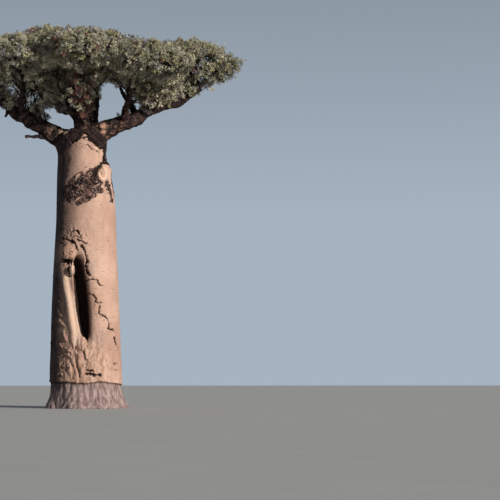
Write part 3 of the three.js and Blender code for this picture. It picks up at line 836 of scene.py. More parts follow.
def roughen_bark(skin):
    """The rough dark patch under the fork and the collar round it."""
    skin.rough = rough_field(skin.ju, skin.jz)
    coarse = RELIEF["rough_knobs"] * skin.noise["knobbly"] + RELIEF["rough_grain"] * skin.noise["fine"]
    skin.rise += smooth_step(0.4, 0.7, skin.rough) * coarse


def ring_bark(skin):
    """The ring that a lost bough left on the shoulder."""
    knot_u = (skin.u - front_arc(RING_KNOT["x"], RING_KNOT["height"])) / RING_KNOT["half"][0]
    knot_z = (skin.z - RING_KNOT["height"]) / RING_KNOT["half"][1]
    knot = np.hypot(knot_u, knot_z)
    skin.ring = skin.front * np.exp(-(((knot - 1) / 0.30) ** 2))
    skin.knot_heart = skin.front * np.exp(-((knot / 0.5) ** 2))
    dip = skin.front * np.exp(-((knot / 0.55) ** 2))
    skin.rise += RELIEF["ring"] * skin.ring - RELIEF["ring_dip"] * dip
    skin.rough *= 1 - skin.ring


def ledge_bark(skin):
    """The lap of bark over the ledge, the seam in it with painted shade, and the fibrous foot under it."""
    ledge = ledge_height(skin.turn) + 0.5 * skin.jag_up
    skin.under = smooth_step(ledge + 0.03, ledge - 0.06, skin.z)
    lap = np.exp(-(((skin.z - ledge - 0.07) / 0.07) ** 2))
    seam = np.exp(-(((skin.z - ledge + 0.02) / 0.04) ** 2))
    fibrous = skin.under * RELIEF["fibres"] * skin.noise["fibres"]
    skin.rise += RELIEF["lap"] * lap - RELIEF["seam"] * seam + fibrous
    # Painted shade in the seam under the lap.
    skin.recess_shade = np.maximum(skin.recess_shade, 0.8 * seam)


def roll_bark(skin):
    """How far the bark at the right of the cleft rolls into it. Keeps painted shade deep in the cleft and on
    the bark that rolls into it, too.
    """
    cx, _, cz = CLEFT["centre"]
    beyond = skin.x - cx + CLEFT["lean"] * (skin.z - cz)
    level = np.abs((skin.z - cz) / CLEFT["half"][2])
    half_width = CLEFT["half"][0] * np.sqrt(np.maximum(0, 1 - level ** (2 / CLEFT["blunt"])))
    depth_in = trunk_value(1, skin.z) - np.hypot(skin.x - skin.lean, skin.y)
    beside = skin.front & (level < 1.1)
    near = beside & (np.abs(beyond) < half_width + 0.25)
    # How deep a point lies in the cleft, which sets the painted shade there.
    inside = np.where(near, smooth_step(0.12, 0.45, depth_in), 0)
    skin.rise += RELIEF["cleft_knobs"] * skin.noise["knobbly"] * inside
    out_of = np.clip((CLEFT_ROLL["width"] - beyond + half_width) / CLEFT_ROLL["width"], 0, 1)
    roll = CLEFT_ROLL["depth"] * (1 - np.sqrt(1 - out_of**2)) * smooth_step(1.1, 0.8, level)
    rolled = beside & (beyond > 0.3 * half_width)
    roll = np.where(rolled, np.maximum(0, roll - depth_in), 0)
    # Painted shade on the bark that rolls into the cleft.
    dark = smooth_step(0.08, 0.42, roll + np.maximum(0, depth_in) * rolled)
    skin.inside = np.maximum(inside, 0.85 * dark)
    return roll


def bark_marks(skin):
    """What the trunk's material reads at each point of the moved skin, by name, painted shade and painted
    light among them.
    """
    # Painted light on the lip's sunlit right side, and painted shade in lilac on its left side.
    lip_distance, _ = line_distance(skin.u, skin.z, LIP_PAINTED_LIGHT)
    pale = smooth_step(0.30, 0.12, lip_distance) * skin.front
    lilac_distance, _ = line_distance(skin.u, skin.z, LIP_PAINTED_SHADE)
    lilac = 0.55 * smooth_step(0.26, 0.10, lilac_distance) * skin.front
    mottled = np.maximum(skin.spot("mottled"), 0.5 * skin.spot("pinkish"))
    lilac = np.maximum(lilac, 0.5 * mottled * smooth_step(-0.3, 0.3, skin.noise["knobbly"]))
    # Painted shade on the side away from the key light: a dark band at the left edge and a softer gradient
    # towards the front.
    turn = skin.turn - 0.32 * smooth_step(11.5, 14.0, skin.z)
    broad, below_fork = skin.noise["broad"], smooth_step(*BELOW_FORK, skin.z)
    side = smooth_step(*PAINTED_SIDE_SHADE["turns"], turn + 0.15 * broad + 1.2 * skin.jag)
    side *= (1 - 0.8 * skin.burr) * smooth_step(0.2, 1.6, skin.z)
    shade = smooth_step(*SHADE["turns"], turn + 0.2 * broad + 0.5 * skin.jag)
    shade *= (1 - pale) * (1 - 0.6 * skin.burr) * (1 - skin.glow("knob")) * smooth_step(2.0, 5.0, skin.z)
    painted_shade = np.maximum(PAINTED_SIDE_SHADE["share"] * side, SHADE["share"] * shade) * below_fork
    return {
        "recess_shade": skin.recess_shade,
        "rough": skin.rough,
        "grey_and_shade": np.maximum(skin.under, lilac),
        "painted_shade": painted_shade * smooth_step(-2.9, -2.3, skin.turn),
        "pale": np.maximum(np.maximum(pale, pale_field(skin.points)), skin.ring),
        "inside": skin.inside,
        "scarred": np.maximum.reduce([skin.scar, skin.lower_left, skin.burr, 1.5 * skin.knot_heart]),
    }


def carve_trunk(mesh):
    """Moves the skin of the trunk to its relief, and paints the marks of its bark, painted shade and light
    among them.
    """
    skin = Skin(mesh)
    tear_bark(skin)
    swell_bark(skin)
    roughen_bark(skin)
    ring_bark(skin)
    ledge_bark(skin)
    roll = roll_bark(skin)
    skin.rise += RELIEF["fine"] * skin.noise["fine"]
    points = skin.points
    points += skin.normals * skin.rise[:, None]
    points[:, 0] -= np.sin(skin.turn) * roll
    points[:, 1] += np.cos(skin.turn) * roll
    points[:, 2] = np.where(skin.z < FLAT_CUT, 0, np.maximum(points[:, 2], 0))
    write_points(mesh, points)
    for name, values in bark_marks(skin).items():
        paint(mesh, name, values)


def thinned(piece):
    """Takes triangles away where the skin is even, until the piece is under its share."""
    triangles = sum(len(p.vertices) - 2 for p in piece.data.polygons)
    if triangles <= MOST_TRIANGLES:
        return piece
    fewer = piece.modifiers.new("fewer", "DECIMATE")
    fewer.ratio = MOST_TRIANGLES / triangles
    mesh = baked(piece)
    piece.modifiers.clear()
    piece.data = mesh
    return piece


def limb_stations(limb, step, end_share=1.0):
    """Centres, radii and shares of the length at even steps along a limb."""
    count = max(4, int(limb.length * end_share / step))
    shares = np.linspace(0, end_share, count)
    return limb.at(shares), limb.radius(shares), shares


def stem_line(limb, space):
    """The stem from the limb's tip to the heart of its mass, leaving in the limb's own direction."""
    foot, heart = limb.at(1.0), space.place(HEART)
    heading = limb.heading(1.0)
    reach = np.linalg.norm(heart - foot)
    return Limb([foot, foot + heading * reach * 0.4, heart - (heart - foot) * 0.3, heart], limb.radii)


def build_trunk(limbs):
    """The trunk's skin, with its lip and lumps and the roots of the boughs."""
    bm = bmesh.new()
    spin_trunk(bm)
    cut_cleft(bm)
    centres, radii = lip_centres(LIP_STATIONS)
    sweep(bm, centres, radii, LIMB_SIDES)
    for lump in LUMPS.values():
        ball(bm, lump["centre"], lump["half"])
    for name in BOUGHS:
        centres, radii, shares = limb_stations(limbs[name], 0.2, FORK_REACH / limbs[name].length)
        sweep(bm, centres, radii * (1.1 - 0.25 * shares / shares[-1]), LIMB_SIDES)
    mesh = remeshed("trunk", bm, TRUNK_VOXEL, 3)
    bm.free()
    carve_trunk(mesh)
    piece = thinned(new_object("trunk_bark", mesh))
    points = read_points(piece.data)
    points[:, 2] = np.maximum(points[:, 2], 0)
    write_points(piece.data, points)
    return piece


def carve_boughs(mesh):
    """Gives the boughs their lumpy, wrinkled bark."""
    points, normals = read_points(mesh), read_points(mesh, "normal")
    humps = wander(points, 1.3, 57.0, 2)
    knobbly = wander(points, 3.2, 61.0, 4)
    fine = wander(points, 9.0, 71.0, 3)
    rise = 0.05 * humps + 0.05 * knobbly + 0.018 * fine
    write_points(mesh, points + normals * rise[:, None])
    paint(mesh, "lumps", 0.5 + 0.5 * knobbly)
    warm = wander(points, 0.55, 81.0, 2)
    near_fork = smooth_step(5.5, 1.5, np.linalg.norm(points - FORK, axis=1))
    paint(mesh, "warm", np.maximum(smooth_step(-0.1, 0.5, warm) * 0.6, near_fork))
    # Painted light: pale humps round the fork.
    paint(mesh, "pale", pale_field(points))


def build_boughs(limbs, carriers, spaces):
    """One skin round all the limbs, and round the stem that each sends into its mass."""
    bm = bmesh.new()
    for name, limb in limbs.items():
        centres, radii, shares = limb_stations(limb, 0.22)
        free = np.minimum(1, np.minimum(shares, 1 - shares) * 5)
        sway = SWAY * radii.mean() / SWAY_RADIUS * wander_aside(centres, 0.7, 91.0) * free[:, None]
        thick = 1.05 + 0.12 * wander(centres, 0.9, 131.0, 2) * free - TIP_THINNING * shares**3
        sweep(bm, centres + sway, radii * thick, LIMB_SIDES if name in BOUGHS else BRANCH_SIDES)
    for name, limb in carriers.items():
        shares = np.linspace(0, 1, 12)
        centres = stem_line(limb, spaces[name]).at(shares)
        centres[0] -= limb.heading(1.0) * 0.1
        centres[1:] += STEM_SWAY * wander_aside(centres[1:], 1.1, 151.0)
        sweep(bm, centres, limb.radii[1] * (1.05 - TIP_THINNING - 0.35 * shares), STEM_SIDES)
    mesh = remeshed("boughs", bm, BOUGH_VOXEL, 2)
    bm.free()
    carve_boughs(mesh)
    return thinned(new_object("boughs_bark", mesh))


# Crown: main twigs by the source's rule, then branchlets, sprigs and leaves.


def own_distance(points, own, spaces):
    """How far out points lie in their own space, and whether no neighbour's space is nearer."""
    distances = np.stack([np.linalg.norm(s.shares(points), axis=-1) for s in spaces.values()])
    index = list(spaces).index(own)
    others = np.delete(distances, index, axis=0).min(axis=0)
    return distances[index], others


def in_own_space(point, own, spaces):
    distance, others = own_distance(point[None], own, spaces)
    return distance[0] < ROOM_SPACE and others[0] >= distance[0] + ROOM_NEIGHBOUR


def limb_balls(limbs):
    """Centres and radii of the places along the limbs that foliage keeps clear of."""
    shares = np.linspace(0, 1, LIMB_SAMPLES + 1)
    centres = np.concatenate([limb.at(shares) for limb in limbs.values()])
    radii = np.concatenate([limb.radius(shares) for limb in limbs.values()])
    return centres, radii


def clear_of(points, balls, room):
    centres, radii = balls
    away = np.linalg.norm(points[:, None] - centres[None], axis=2)
    return (away > radii + room).all(axis=1)


def main_twigs(name, twigs, seed, spaces, balls):
    """Knee and tip of each main twig of a mass by the source's rule. A tip that isn't kept is None."""
    space = spaces[name]
    draw = seeded(seed)
    for _ in range(CORE_DRAWS):
        draw()
    forks = []
    for i in range(twigs):
        lift = 1 - (i + 0.5) / twigs * (1 - LOWEST_TWIG)
        turn = i * GOLDEN_TURN + draw()
        level = math.sqrt(1 - lift * lift)
        heading = np.array([level * math.cos(turn), level * math.sin(turn), lift])
        knee = space.place(heading * KNEE)
        side, over = square_to(heading)
        fork_turn = draw() * math.pi
        for angle in (fork_turn, fork_turn + math.pi):
            aside = side * math.cos(angle) + over * math.sin(angle)
            tip = space.place(unit(heading + FORK_SPREAD * aside) * TIP)
            kept = in_own_space(tip, name, spaces) and clear_of(tip[None], balls, ROOM_LIMB)[0]
            forks.append((knee, tip if kept else None))
            # The source draws once for each spray here.
            for _ in range(SPRAYS_PER_TIP if kept else 0):
                draw()
    return forks


class Twigs:
    """Gathers three-sided twigs, each a line of points with a radius at both ends."""

    def __init__(self):
        self.corners, self.quads, self.tris, self.count = [], [], [], 0

    def grow(self, kind, starts, ends, rng):
        """Adds twigs of one kind from starts to ends, and gives their lines."""
        how = TWIG_KINDS[kind]
        lines = bowed(starts, ends, how["bow"], rng, how["points"])
        self.add(lines, *how["radii"])
        return lines

    def add(self, lines, start_radius, end_radius):
        """lines is an array of twigs by points by 3."""
        number, stations, _ = lines.shape
        start = np.broadcast_to(start_radius, number)
        end = np.broadcast_to(end_radius, number)
        side, over = square_to_all(unit(lines[:, -1] - lines[:, 0]))
        turns = (np.arange(3) * 2 * math.pi / 3)[:, None]
        ring = side[:, None] * np.cos(turns) + over[:, None] * np.sin(turns)
        share = np.linspace(0, 1, stations)
        radius = start[:, None] * (1 - share) + end[:, None] * share
        corners = lines[:, :, None] + ring[:, None] * radius[:, :, None, None]
        self.corners.append(corners.reshape(-1, 3))
        walls = [
            (3 * s + k, 3 * s + (k + 1) % 3, 3 * s + (k + 1) % 3 + 3, 3 * s + k + 3)
            for s in range(stations - 1) for k in range(3)
        ]
        last = (stations - 1) * 3
        caps = [(2, 1, 0), (last, last + 1, last + 2)]
        base = (self.count + np.arange(number) * stations * 3)[:, None, None]
        self.quads.append((np.array(walls) + base).reshape(-1, 4))
        self.tris.append((np.array(caps) + base).reshape(-1, 3))
        self.count += number * stations * 3

    def mesh(self, name):
        groups = [np.concatenate(self.quads), np.concatenate(self.tris)]
        return mesh_from(name, np.concatenate(self.corners), groups)


def mesh_from(name, corners, groups):
    """A mesh from arrays of corners and of faces, each array with one number of sides."""
    mesh = bpy.data.meshes.new(name)
    sizes = np.concatenate([np.full(len(g), g.shape[1]) for g in groups])
    loops = np.concatenate([g.ravel() for g in groups]).astype(np.int32)
    starts = np.concatenate([[0], np.cumsum(sizes)[:-1]]).astype(np.int32)
    mesh.vertices.add(len(corners))
    mesh.vertices.foreach_set("co", corners.astype(np.float32).ravel())
    mesh.loops.add(len(loops))
    mesh.loops.foreach_set("vertex_index", loops)
    mesh.polygons.add(len(starts))
    mesh.polygons.foreach_set("loop_start", starts)
    mesh.update(calc_edges=True)
    mesh.validate()
    return mesh


def bowed(starts, ends, bow, rng, count):
    """Lines of count points from starts to ends that bow upwards a little and wander."""
    span = np.linalg.norm(ends - starts, axis=1, keepdims=True)
    middle = (starts + ends) / 2 + rng.normal(0, 0.11, starts.shape) * span
    middle[:, 2] += bow * span[:, 0]
    t = np.linspace(0, 1, count)[None, :, None]
    return (
        starts[:, None] * (1 - t) ** 2 + 2 * middle[:, None] * t * (1 - t) + ends[:, None] * t**2
    )


def points_on(lines, shares):
    """Places along lines, an array of lines by points by 3, at an array of shares for each."""
    position = shares * (lines.shape[1] - 1)
    low = np.minimum(position.astype(int), lines.shape[1] - 2)
    part = (position - low)[..., None]
    row = np.arange(len(lines))[:, None]
    return lines[row, low] * (1 - part) + lines[row, low + 1] * part


def skin_of(name, space):
    """How much skin a mass has to cover with leaves, in even shares."""
    return space.half.prod() ** (2 / 3) * DENSER.get(name, 1.0)


def sprig_reach(name, shares):
    """How far out sprigs may end in their space, less above, below and at the crown's rim."""
    outwards = np.maximum(0, shares[:, 0])
    upwards = np.maximum(0, shares[:, 2])
    downwards = np.maximum(0, -shares[:, 2])
    lower = LESS_HIGH.get(name, 0) * upwards + REACH["rim_high"] * outwards * upwards
    lower += LESS_LOW.get(name, 0) * outwards * downwards
    lower -= REACH["shoulders"] * np.abs(shares[:, 1]) * upwards
    rim = LESS_OUT.get(name, REACH["rim"]) * outwards
    return REACH["most"] - REACH["flatter"] * np.abs(shares[:, 2]) - rim - lower


def branchlet_ends(name, spaces, balls, rng):
    """Where the branchlets of one mass end, spread evenly round it."""
    space = spaces[name]
    share = skin_of(name, space) / TOTAL_SKIN
    count = int(LEAVES / LEAVES_PER_SPRIG * share / SPRIGS_PER_BRANCHLET * SPARE_BRANCHLETS)
    order = np.arange(count)
    lift = 1 - (order + 0.5) / count * BRANCHLET_SPAN
    turn = order * GOLDEN_TURN + rng.uniform(0, 0.6, count)
    level = np.sqrt(np.maximum(0, 1 - lift**2))
    heading = np.stack([level * np.cos(turn), level * np.sin(turn), lift], axis=1)
    out = rng.uniform(0.6, 1.0, count) ** 0.7 * (sprig_reach(name, heading) - BEHIND_REACH)
    ends = space.place(heading * out[:, None])
    distance, others = own_distance(ends, name, spaces)
    kept = (others > distance * 0.97) & clear_of(ends, balls, ROOM_LIMB)
    kept &= rng.uniform(0, 1, count) < np.where(lift < LOW_LIFT, LOW_KEPT, 1.0)
    return ends[kept]


def sprigs_along(lines, centre, rng):
    """Roots and ends of the sprigs along the branchlets of a mass, the first at each one's end."""
    shares = rng.uniform(0.45, 1.0, (len(lines), SPRIGS_PER_BRANCHLET))
    shares[:, 0] = 1.0
    roots = points_on(lines, shares)
    onwards = unit(lines[:, -1] - lines[:, -2])[:, None]
    outwards = unit(lines[:, -1] - centre)[:, None]
    scatter = unit(rng.normal(0, 1, roots.shape))
    heading = unit(0.5 * onwards + 0.45 * outwards + 0.9 * scatter + (0, 0, 0.15))
    ends = roots + heading * rng.uniform(*SPRIG_LENGTH, roots.shape[:2])[..., None]
    return roots.reshape(-1, 3), ends.reshape(-1, 3)


def grow_mass(name, index, spaces, balls, twigs, sprigs):
    """Grows one mass from its heart to its sprigs. The sprigs are gathered with their mass."""
    space = spaces[name]
    seed = FIRST_SEED + SEED_STEP * index
    rng = np.random.default_rng(seed)
    heart = space.place(HEART)
    forks = main_twigs(name, MASSES[name][4], seed, spaces, balls)
    knees = np.array([knee for knee, _ in forks[::2]])
    tips = np.array([tip for _, tip in forks if tip is not None])
    knees_of_tips = np.array([knee for knee, tip in forks if tip is not None])
    twigs.grow("main", np.repeat(heart[None], len(knees), 0), knees, rng)
    twigs.grow("forked", knees_of_tips, tips, rng)

    ends = branchlet_ends(name, spaces, balls, rng)
    nodes = np.concatenate([knees, tips, (knees_of_tips + tips) / 2, heart[None]])
    nearest = np.linalg.norm(ends[:, None] - nodes[None], axis=2).argmin(axis=1)
    lines = twigs.grow("branchlet", nodes[nearest], ends, rng)

    roots, ends = sprigs_along(lines, space.centre, rng)
    distance, others = own_distance(ends, name, spaces)
    reach = sprig_reach(name, space.shares(ends))
    kept = (distance < reach) & (others > distance * 0.93) & clear_of(ends, balls, 0.02)
    before_sky = through_window(np.stack([roots, ends], axis=1), SKY_WINDOWS)
    kept &= ~before_sky | (rng.uniform(0, 1, len(roots)) < WINDOW_LEAVES)
    faces_out = unit(ends - space.centre)
    sprigs.append((roots[kept], ends[kept], faces_out[kept], np.full(kept.sum(), index)))


def through_window(lines, windows):
    """Whether any of a line's points shows in one of the windows of sky."""
    nearness = EYE[1] / (EYE[1] - lines[..., 1])
    x = lines[..., 0] * nearness
    z = EYE[2] + (lines[..., 2] - EYE[2]) * nearness
    crossed = np.zeros(len(lines), bool)
    for (x0, x1), (z0, z1) in windows:
        crossed |= ((x > x0) & (x < x1) & (z > z0) & (z < z1)).any(axis=1)
    return crossed


def grow_shoots(limbs, spaces, twigs, sprigs):
    """Thin shoots that rise from the limbs into the undersides of the masses."""
    rng = np.random.default_rng(FIRST_SEED - 1)
    names = list(spaces)
    all_centres = np.array([space.centre for space in spaces.values()])
    undersides = np.array([space.place((0, 0, -0.6)) for space in spaces.values()])
    for name, limb in limbs.items():
        if name in STUBS:
            continue
        count = int(limb.length * SHOOTS_PER_METRE)
        starts = limb.at(rng.uniform(0.25, 0.98, count))
        away = np.linalg.norm(starts[:, None] - undersides[None], axis=2)
        chosen = away.argsort(axis=1)[np.arange(count), rng.integers(0, 2, count)]
        shares = rng.uniform((-0.7, -0.7, -0.85), (0.7, 0.7, -0.25), (count, 3))
        reach = [sprig_reach(names[m], s[None])[0] - 0.2 for m, s in zip(chosen, shares)]
        shares /= np.maximum(1, np.linalg.norm(shares, axis=1) / reach)[:, None]
        ends = np.array([spaces[names[m]].place(s) for m, s in zip(chosen, shares)])
        length = np.linalg.norm(ends - starts, axis=1)
        kept = (ends[:, 2] > starts[:, 2] + 0.2) & (length > 0.5) & (length < 3.4)
        lines = bowed(starts[kept], ends[kept], 0.02, rng, 8)
        open_sky = ~through_window(lines[:, 2:], OPEN_WINDOWS)
        lines, masses, length = lines[open_sky], chosen[kept][open_sky], length[kept][open_sky]
        twigs.add(lines, 0.02 + 0.012 * length, 0.012)
        for place in rng.uniform(0.12, 1.0, SHOOT_SPRIGS):
            roots = points_on(lines, np.full((len(lines), 1), place))[:, 0]
            heading = unit(rng.normal(0, 1, roots.shape) + (0, 0, 0.3))
            tips = roots + heading * rng.uniform(*SHOOT_SPRIG_LENGTH, (len(roots), 1))
            outwards = unit(tips - all_centres[masses])
            free = ~through_window(np.stack([roots, tips], axis=1), SKY_WINDOWS)
            sprigs.append((roots[free], tips[free], outwards[free], masses[free]))


def grow_spurs(limbs, spaces, twigs, sprigs):
    """Short leafy spurs on the upper sides of the limbs' outer halves."""
    rng = np.random.default_rng(FIRST_SEED - 2)
    all_centres = np.array([space.centre for space in spaces.values()])
    for name, limb in limbs.items():
        if name in STUBS:
            continue
        count = int(limb.length * SPURS_PER_METRE / 2)
        share = rng.uniform(0.5, 1.0, count)
        starts = limb.at(share)
        heading = rng.normal(0, 1, starts.shape)
        heading[:, 2] = np.abs(heading[:, 2]) + 0.1
        heading = unit(heading)
        length = limb.radius(share) + rng.uniform(*SPUR_LENGTH, count)
        ends = starts + heading * length[:, None]
        kept = ~through_window(np.stack([starts, ends], axis=1), SKY_WINDOWS)
        starts, ends, heading = starts[kept], ends[kept], heading[kept]
        twigs.grow("spur", starts, ends, rng)
        masses = np.linalg.norm(ends[:, None] - all_centres[None], axis=2).argmin(axis=1)
        for _ in range(SPUR_SPRIGS):
            aside = unit(rng.normal(0, 1, ends.shape) + 1.2 * heading + (0, 0, 0.2))
            tips = ends + aside * rng.uniform(*SPUR_SPRIG_LENGTH, (len(ends), 1))
            above = tips[:, 2] > starts[:, 2] + 0.1
            sprigs.append((ends[above], tips[above], heading[above], masses[above]))


# A leaf: its size, its leaflets with their fan, width, droop and widest place, and its stalk.
LEAF_SIZE = (0.158, 0.25)
LEAFLETS = 5
LEAFLET_FAN = math.radians(250)
LEAFLET_WIDTH = 0.38
LEAFLET_DROOP = 0.26
LEAFLET_WIDEST = 0.58
STALK_SHARE = 0.38
STALK_HALF = 0.012


def leaf_pattern():
    """A palmate leaf of five leaflets on a stalk: corners along, across and up, and its faces."""
    corners = [(-STALK_SHARE, -STALK_HALF, 0), (-STALK_SHARE, STALK_HALF, 0), (0.02, 0, 0), (0, 0, 0)]
    leaflets = []
    for k in range(LEAFLETS):
        fan = k / (LEAFLETS - 1) - 0.5
        angle = fan * LEAFLET_FAN
        reach = (1 - STALK_SHARE) * (1 - 0.28 * abs(fan) * 2)
        ahead = np.array([math.cos(angle), math.sin(angle), 0])
        aside = np.array([-math.sin(angle), math.cos(angle), 0]) * LEAFLET_WIDTH * reach / 2
        middle = ahead * reach * LEAFLET_WIDEST - (0, 0, LEAFLET_DROOP * 0.35)
        base = len(corners)
        corners += [middle + aside, middle - aside, ahead * reach * 0.95 - (0, 0, LEAFLET_DROOP)]
        leaflets.append((3, base + 1, base + 2, base))
    return np.array(corners), np.array(leaflets), np.array([(0, 2, 1)])


def place_leaves(roots, ends, faces_out, rng):
    """Leaves round the sprigs: place, size and frame of each, and the sprig that it is on."""
    number = len(roots)
    per = LEAVES_PER_SPRIG
    k = np.tile(np.arange(per), (number, 1))
    share = 0.4 + 0.6 * (k + rng.uniform(0, 1, k.shape)) / per
    along = unit(ends - roots)
    side, over = square_to_all(along)
    turn = k * GOLDEN_TURN + rng.uniform(0, 6.28, (number, 1))
    round_it = side[:, None] * np.cos(turn)[..., None] + over[:, None] * np.sin(turn)[..., None]
    heading = unit(round_it * 0.9 + along[:, None] * 0.55 + rng.normal(0, 0.25, round_it.shape))
    place = roots[:, None] + (ends - roots)[:, None] * share[..., None]
    faces_out = faces_out * (1.3, 1.3, 0.4) + (0, 0, 0.15)
    up = unit(0.9 * faces_out[:, None] + (0, 0, 0.1) + rng.normal(0, 0.42, heading.shape))
    across = unit(np.cross(up, heading))
    frames = (heading, across, np.cross(heading, across))
    size = rng.uniform(*LEAF_SIZE, share.shape)
    sprig = np.repeat(np.arange(number), per)
    return place.reshape(-1, 3), size.ravel(), [f.reshape(-1, 3) for f in frames], sprig


def leaf_mesh(name, place, size, frames):
    """One mesh of many leaves, each at its place with its size and its frame of three directions."""
    corners, leaflets, stalk = leaf_pattern()
    local = corners + (STALK_SHARE, 0, 0)
    shape = sum(frame[:, None] * local[None, :, k:k + 1] for k, frame in enumerate(frames))
    world = place[:, None] + size[:, None, None] * shape
    base = (np.arange(len(place)) * len(corners))[:, None, None]
    faces = [(leaflets + base).reshape(-1, 4), (stalk + base).reshape(-1, 3)]
    return mesh_from(name, world.reshape(-1, 3), faces)


# The crown's dome: its top, and how it falls with the distance from the trunk's line squared.
DOME_TOP = 21.6
DOME_FALL = 0.045

# Tints of the leaves, dealt out by sprig: base colour and share of the crown.
TINTS = {
    "khaki": ((0.41, 0.375, 0.265), 0.38),
    # Pale leaves dealt to shaded places: painted light.
    "straw_painted_light": ((0.66, 0.605, 0.45), 0.02),
    "grey_green": ((0.34, 0.325, 0.255), 0.26),
    "olive": ((0.25, 0.23, 0.14), 0.17),
    # Dark leaves that stand for leaves in shade: painted shade.
    "dusky_shade": ((0.145, 0.125, 0.13), 0.12),
    "yellow_green": ((0.34, 0.32, 0.15), 0.04),
    "russet": ((0.20, 0.090, 0.065), 0.012),
}


def tint_of(ends, masses, rng):
    """A tint for each sprig, in soft patches: olive on top, straw under the dome, russet in the heart. More
    olive on top and on the sunlit right is painted shade, the pale straw leaves on the shaded flanks are
    painted light, and more dusky leaves low down are painted shade.
    """
    weight = {name: np.full(len(ends), share) for name, (_, share) in TINTS.items()}
    patch = np.array([noise.noise(Vector(p) * 0.8 + Vector((5, 1, 2))) for p in ends.tolist()])
    patch_b = np.array([noise.noise(Vector(p) * 0.9 + Vector((1, 9, 4))) for p in ends.tolist()])
    x, y, z = ends.T
    under = DOME_TOP - DOME_FALL * (x**2 + y**2) - z
    top = smooth_step(1.3, 0.5, under)
    lit, shaded = smooth_step(1.5, 5.0, x), smooth_step(3.5, 0.0, x)
    flank = smooth_step(1.0, 1.9, under) * smooth_step(4.6, 3.4, under)
    heart = masses == list(MASSES).index("mass_heart")
    # Painted shade: fewer pale khaki leaves on top and on the sunlit right.
    weight["khaki"] *= (1 - 0.6 * top) * (1 - 0.35 * lit)
    # Painted light: pale straw leaves on the flanks under the dome, most on the shaded left.
    weight["straw_painted_light"] += flank * (0.3 + 1.2 * shaded)
    weight["straw_painted_light"] *= ~heart
    # Painted shade: more olive leaves on top and on the sunlit right.
    weight["olive"] *= (1 + 1.4 * top) * (1 + 0.9 * lit)
    # Painted shade: more dusky leaves low under the crown.
    weight["dusky_shade"] *= 1 + 2.2 * smooth_step(18.0, 16.8, z)
    weight["yellow_green"] *= 1 + 3 * smooth_step(0.15, 0.4, patch)
    weight["russet"] *= 1 + 2 * smooth_step(0.25, 0.5, patch_b)
    weight["russet"] += heart
    shares = np.stack(list(weight.values()), axis=1)
    shares /= shares.sum(axis=1, keepdims=True)
    pick = rng.uniform(0, 1, len(ends))[:, None]
    return (pick > shares.cumsum(axis=1)).sum(axis=1)


# Materials.

# How much bark and leaves mirror the sky at their edges.
GLOSS = 0.12
LEAF_GLOSS = 0.3
# Colours of the trunk's bark, with those of its painted shade and painted light.
TRUNK_TONES = {
    "tan": (0.39, 0.235, 0.175),
    "pale_tan": (0.51, 0.335, 0.255),
    "streak": (0.33, 0.20, 0.155),
    "ring": (0.32, 0.19, 0.14),
    "dash": (0.10, 0.055, 0.04),
    "scar": (0.24, 0.135, 0.085),
    "lilac_dark": (0.17, 0.115, 0.105),
    "lilac": (0.36, 0.265, 0.245),
    "thread": (0.085, 0.058, 0.052),
    "rough_dark": (0.011, 0.007, 0.007),
    "rough_brown": (0.15, 0.078, 0.055),
    "fold": (0.165, 0.092, 0.078),
    "speck": (0.42, 0.29, 0.25),
    # Dark bark at the fork, with painted shade.
    "fork": (0.012, 0.007, 0.007),
    # Painted light on the lip's sunlit side and round the fork, and the knot's pale ring.
    "pale": (0.66, 0.46, 0.345),
    # Painted shade on the left side, away from the key light.
    "painted_shade_dark": (0.018, 0.012, 0.014),
    "painted_shade_tone": (0.060, 0.038, 0.036),
    # Painted shade in tears, pits and the seam of the ledge.
    "recess_shade": (0.020, 0.011, 0.009),
    # Painted shade deep in the cleft.
    "inside": (0.026, 0.015, 0.012),
}
# Colours of the boughs' and the twigs' bark, with those of the boughs' painted shade and painted light.
BOUGH_TONES = {
    "dark": (0.011, 0.008, 0.009),
    "brown": (0.060, 0.036, 0.031),
    "warm": (0.25, 0.135, 0.10),
    # Painted shade in the hollows between the lumps.
    "hollow": (0.012, 0.008, 0.008),
    # Painted light round the fork.
    "pale": (0.55, 0.32, 0.215),
}
TWIG_TONES = ((0.020, 0.014, 0.014), (0.080, 0.055, 0.048))
# Where the neck's bark changes to the fork's, which is darkened with painted shade.
NECK_HEIGHTS = (13.9, 14.6)


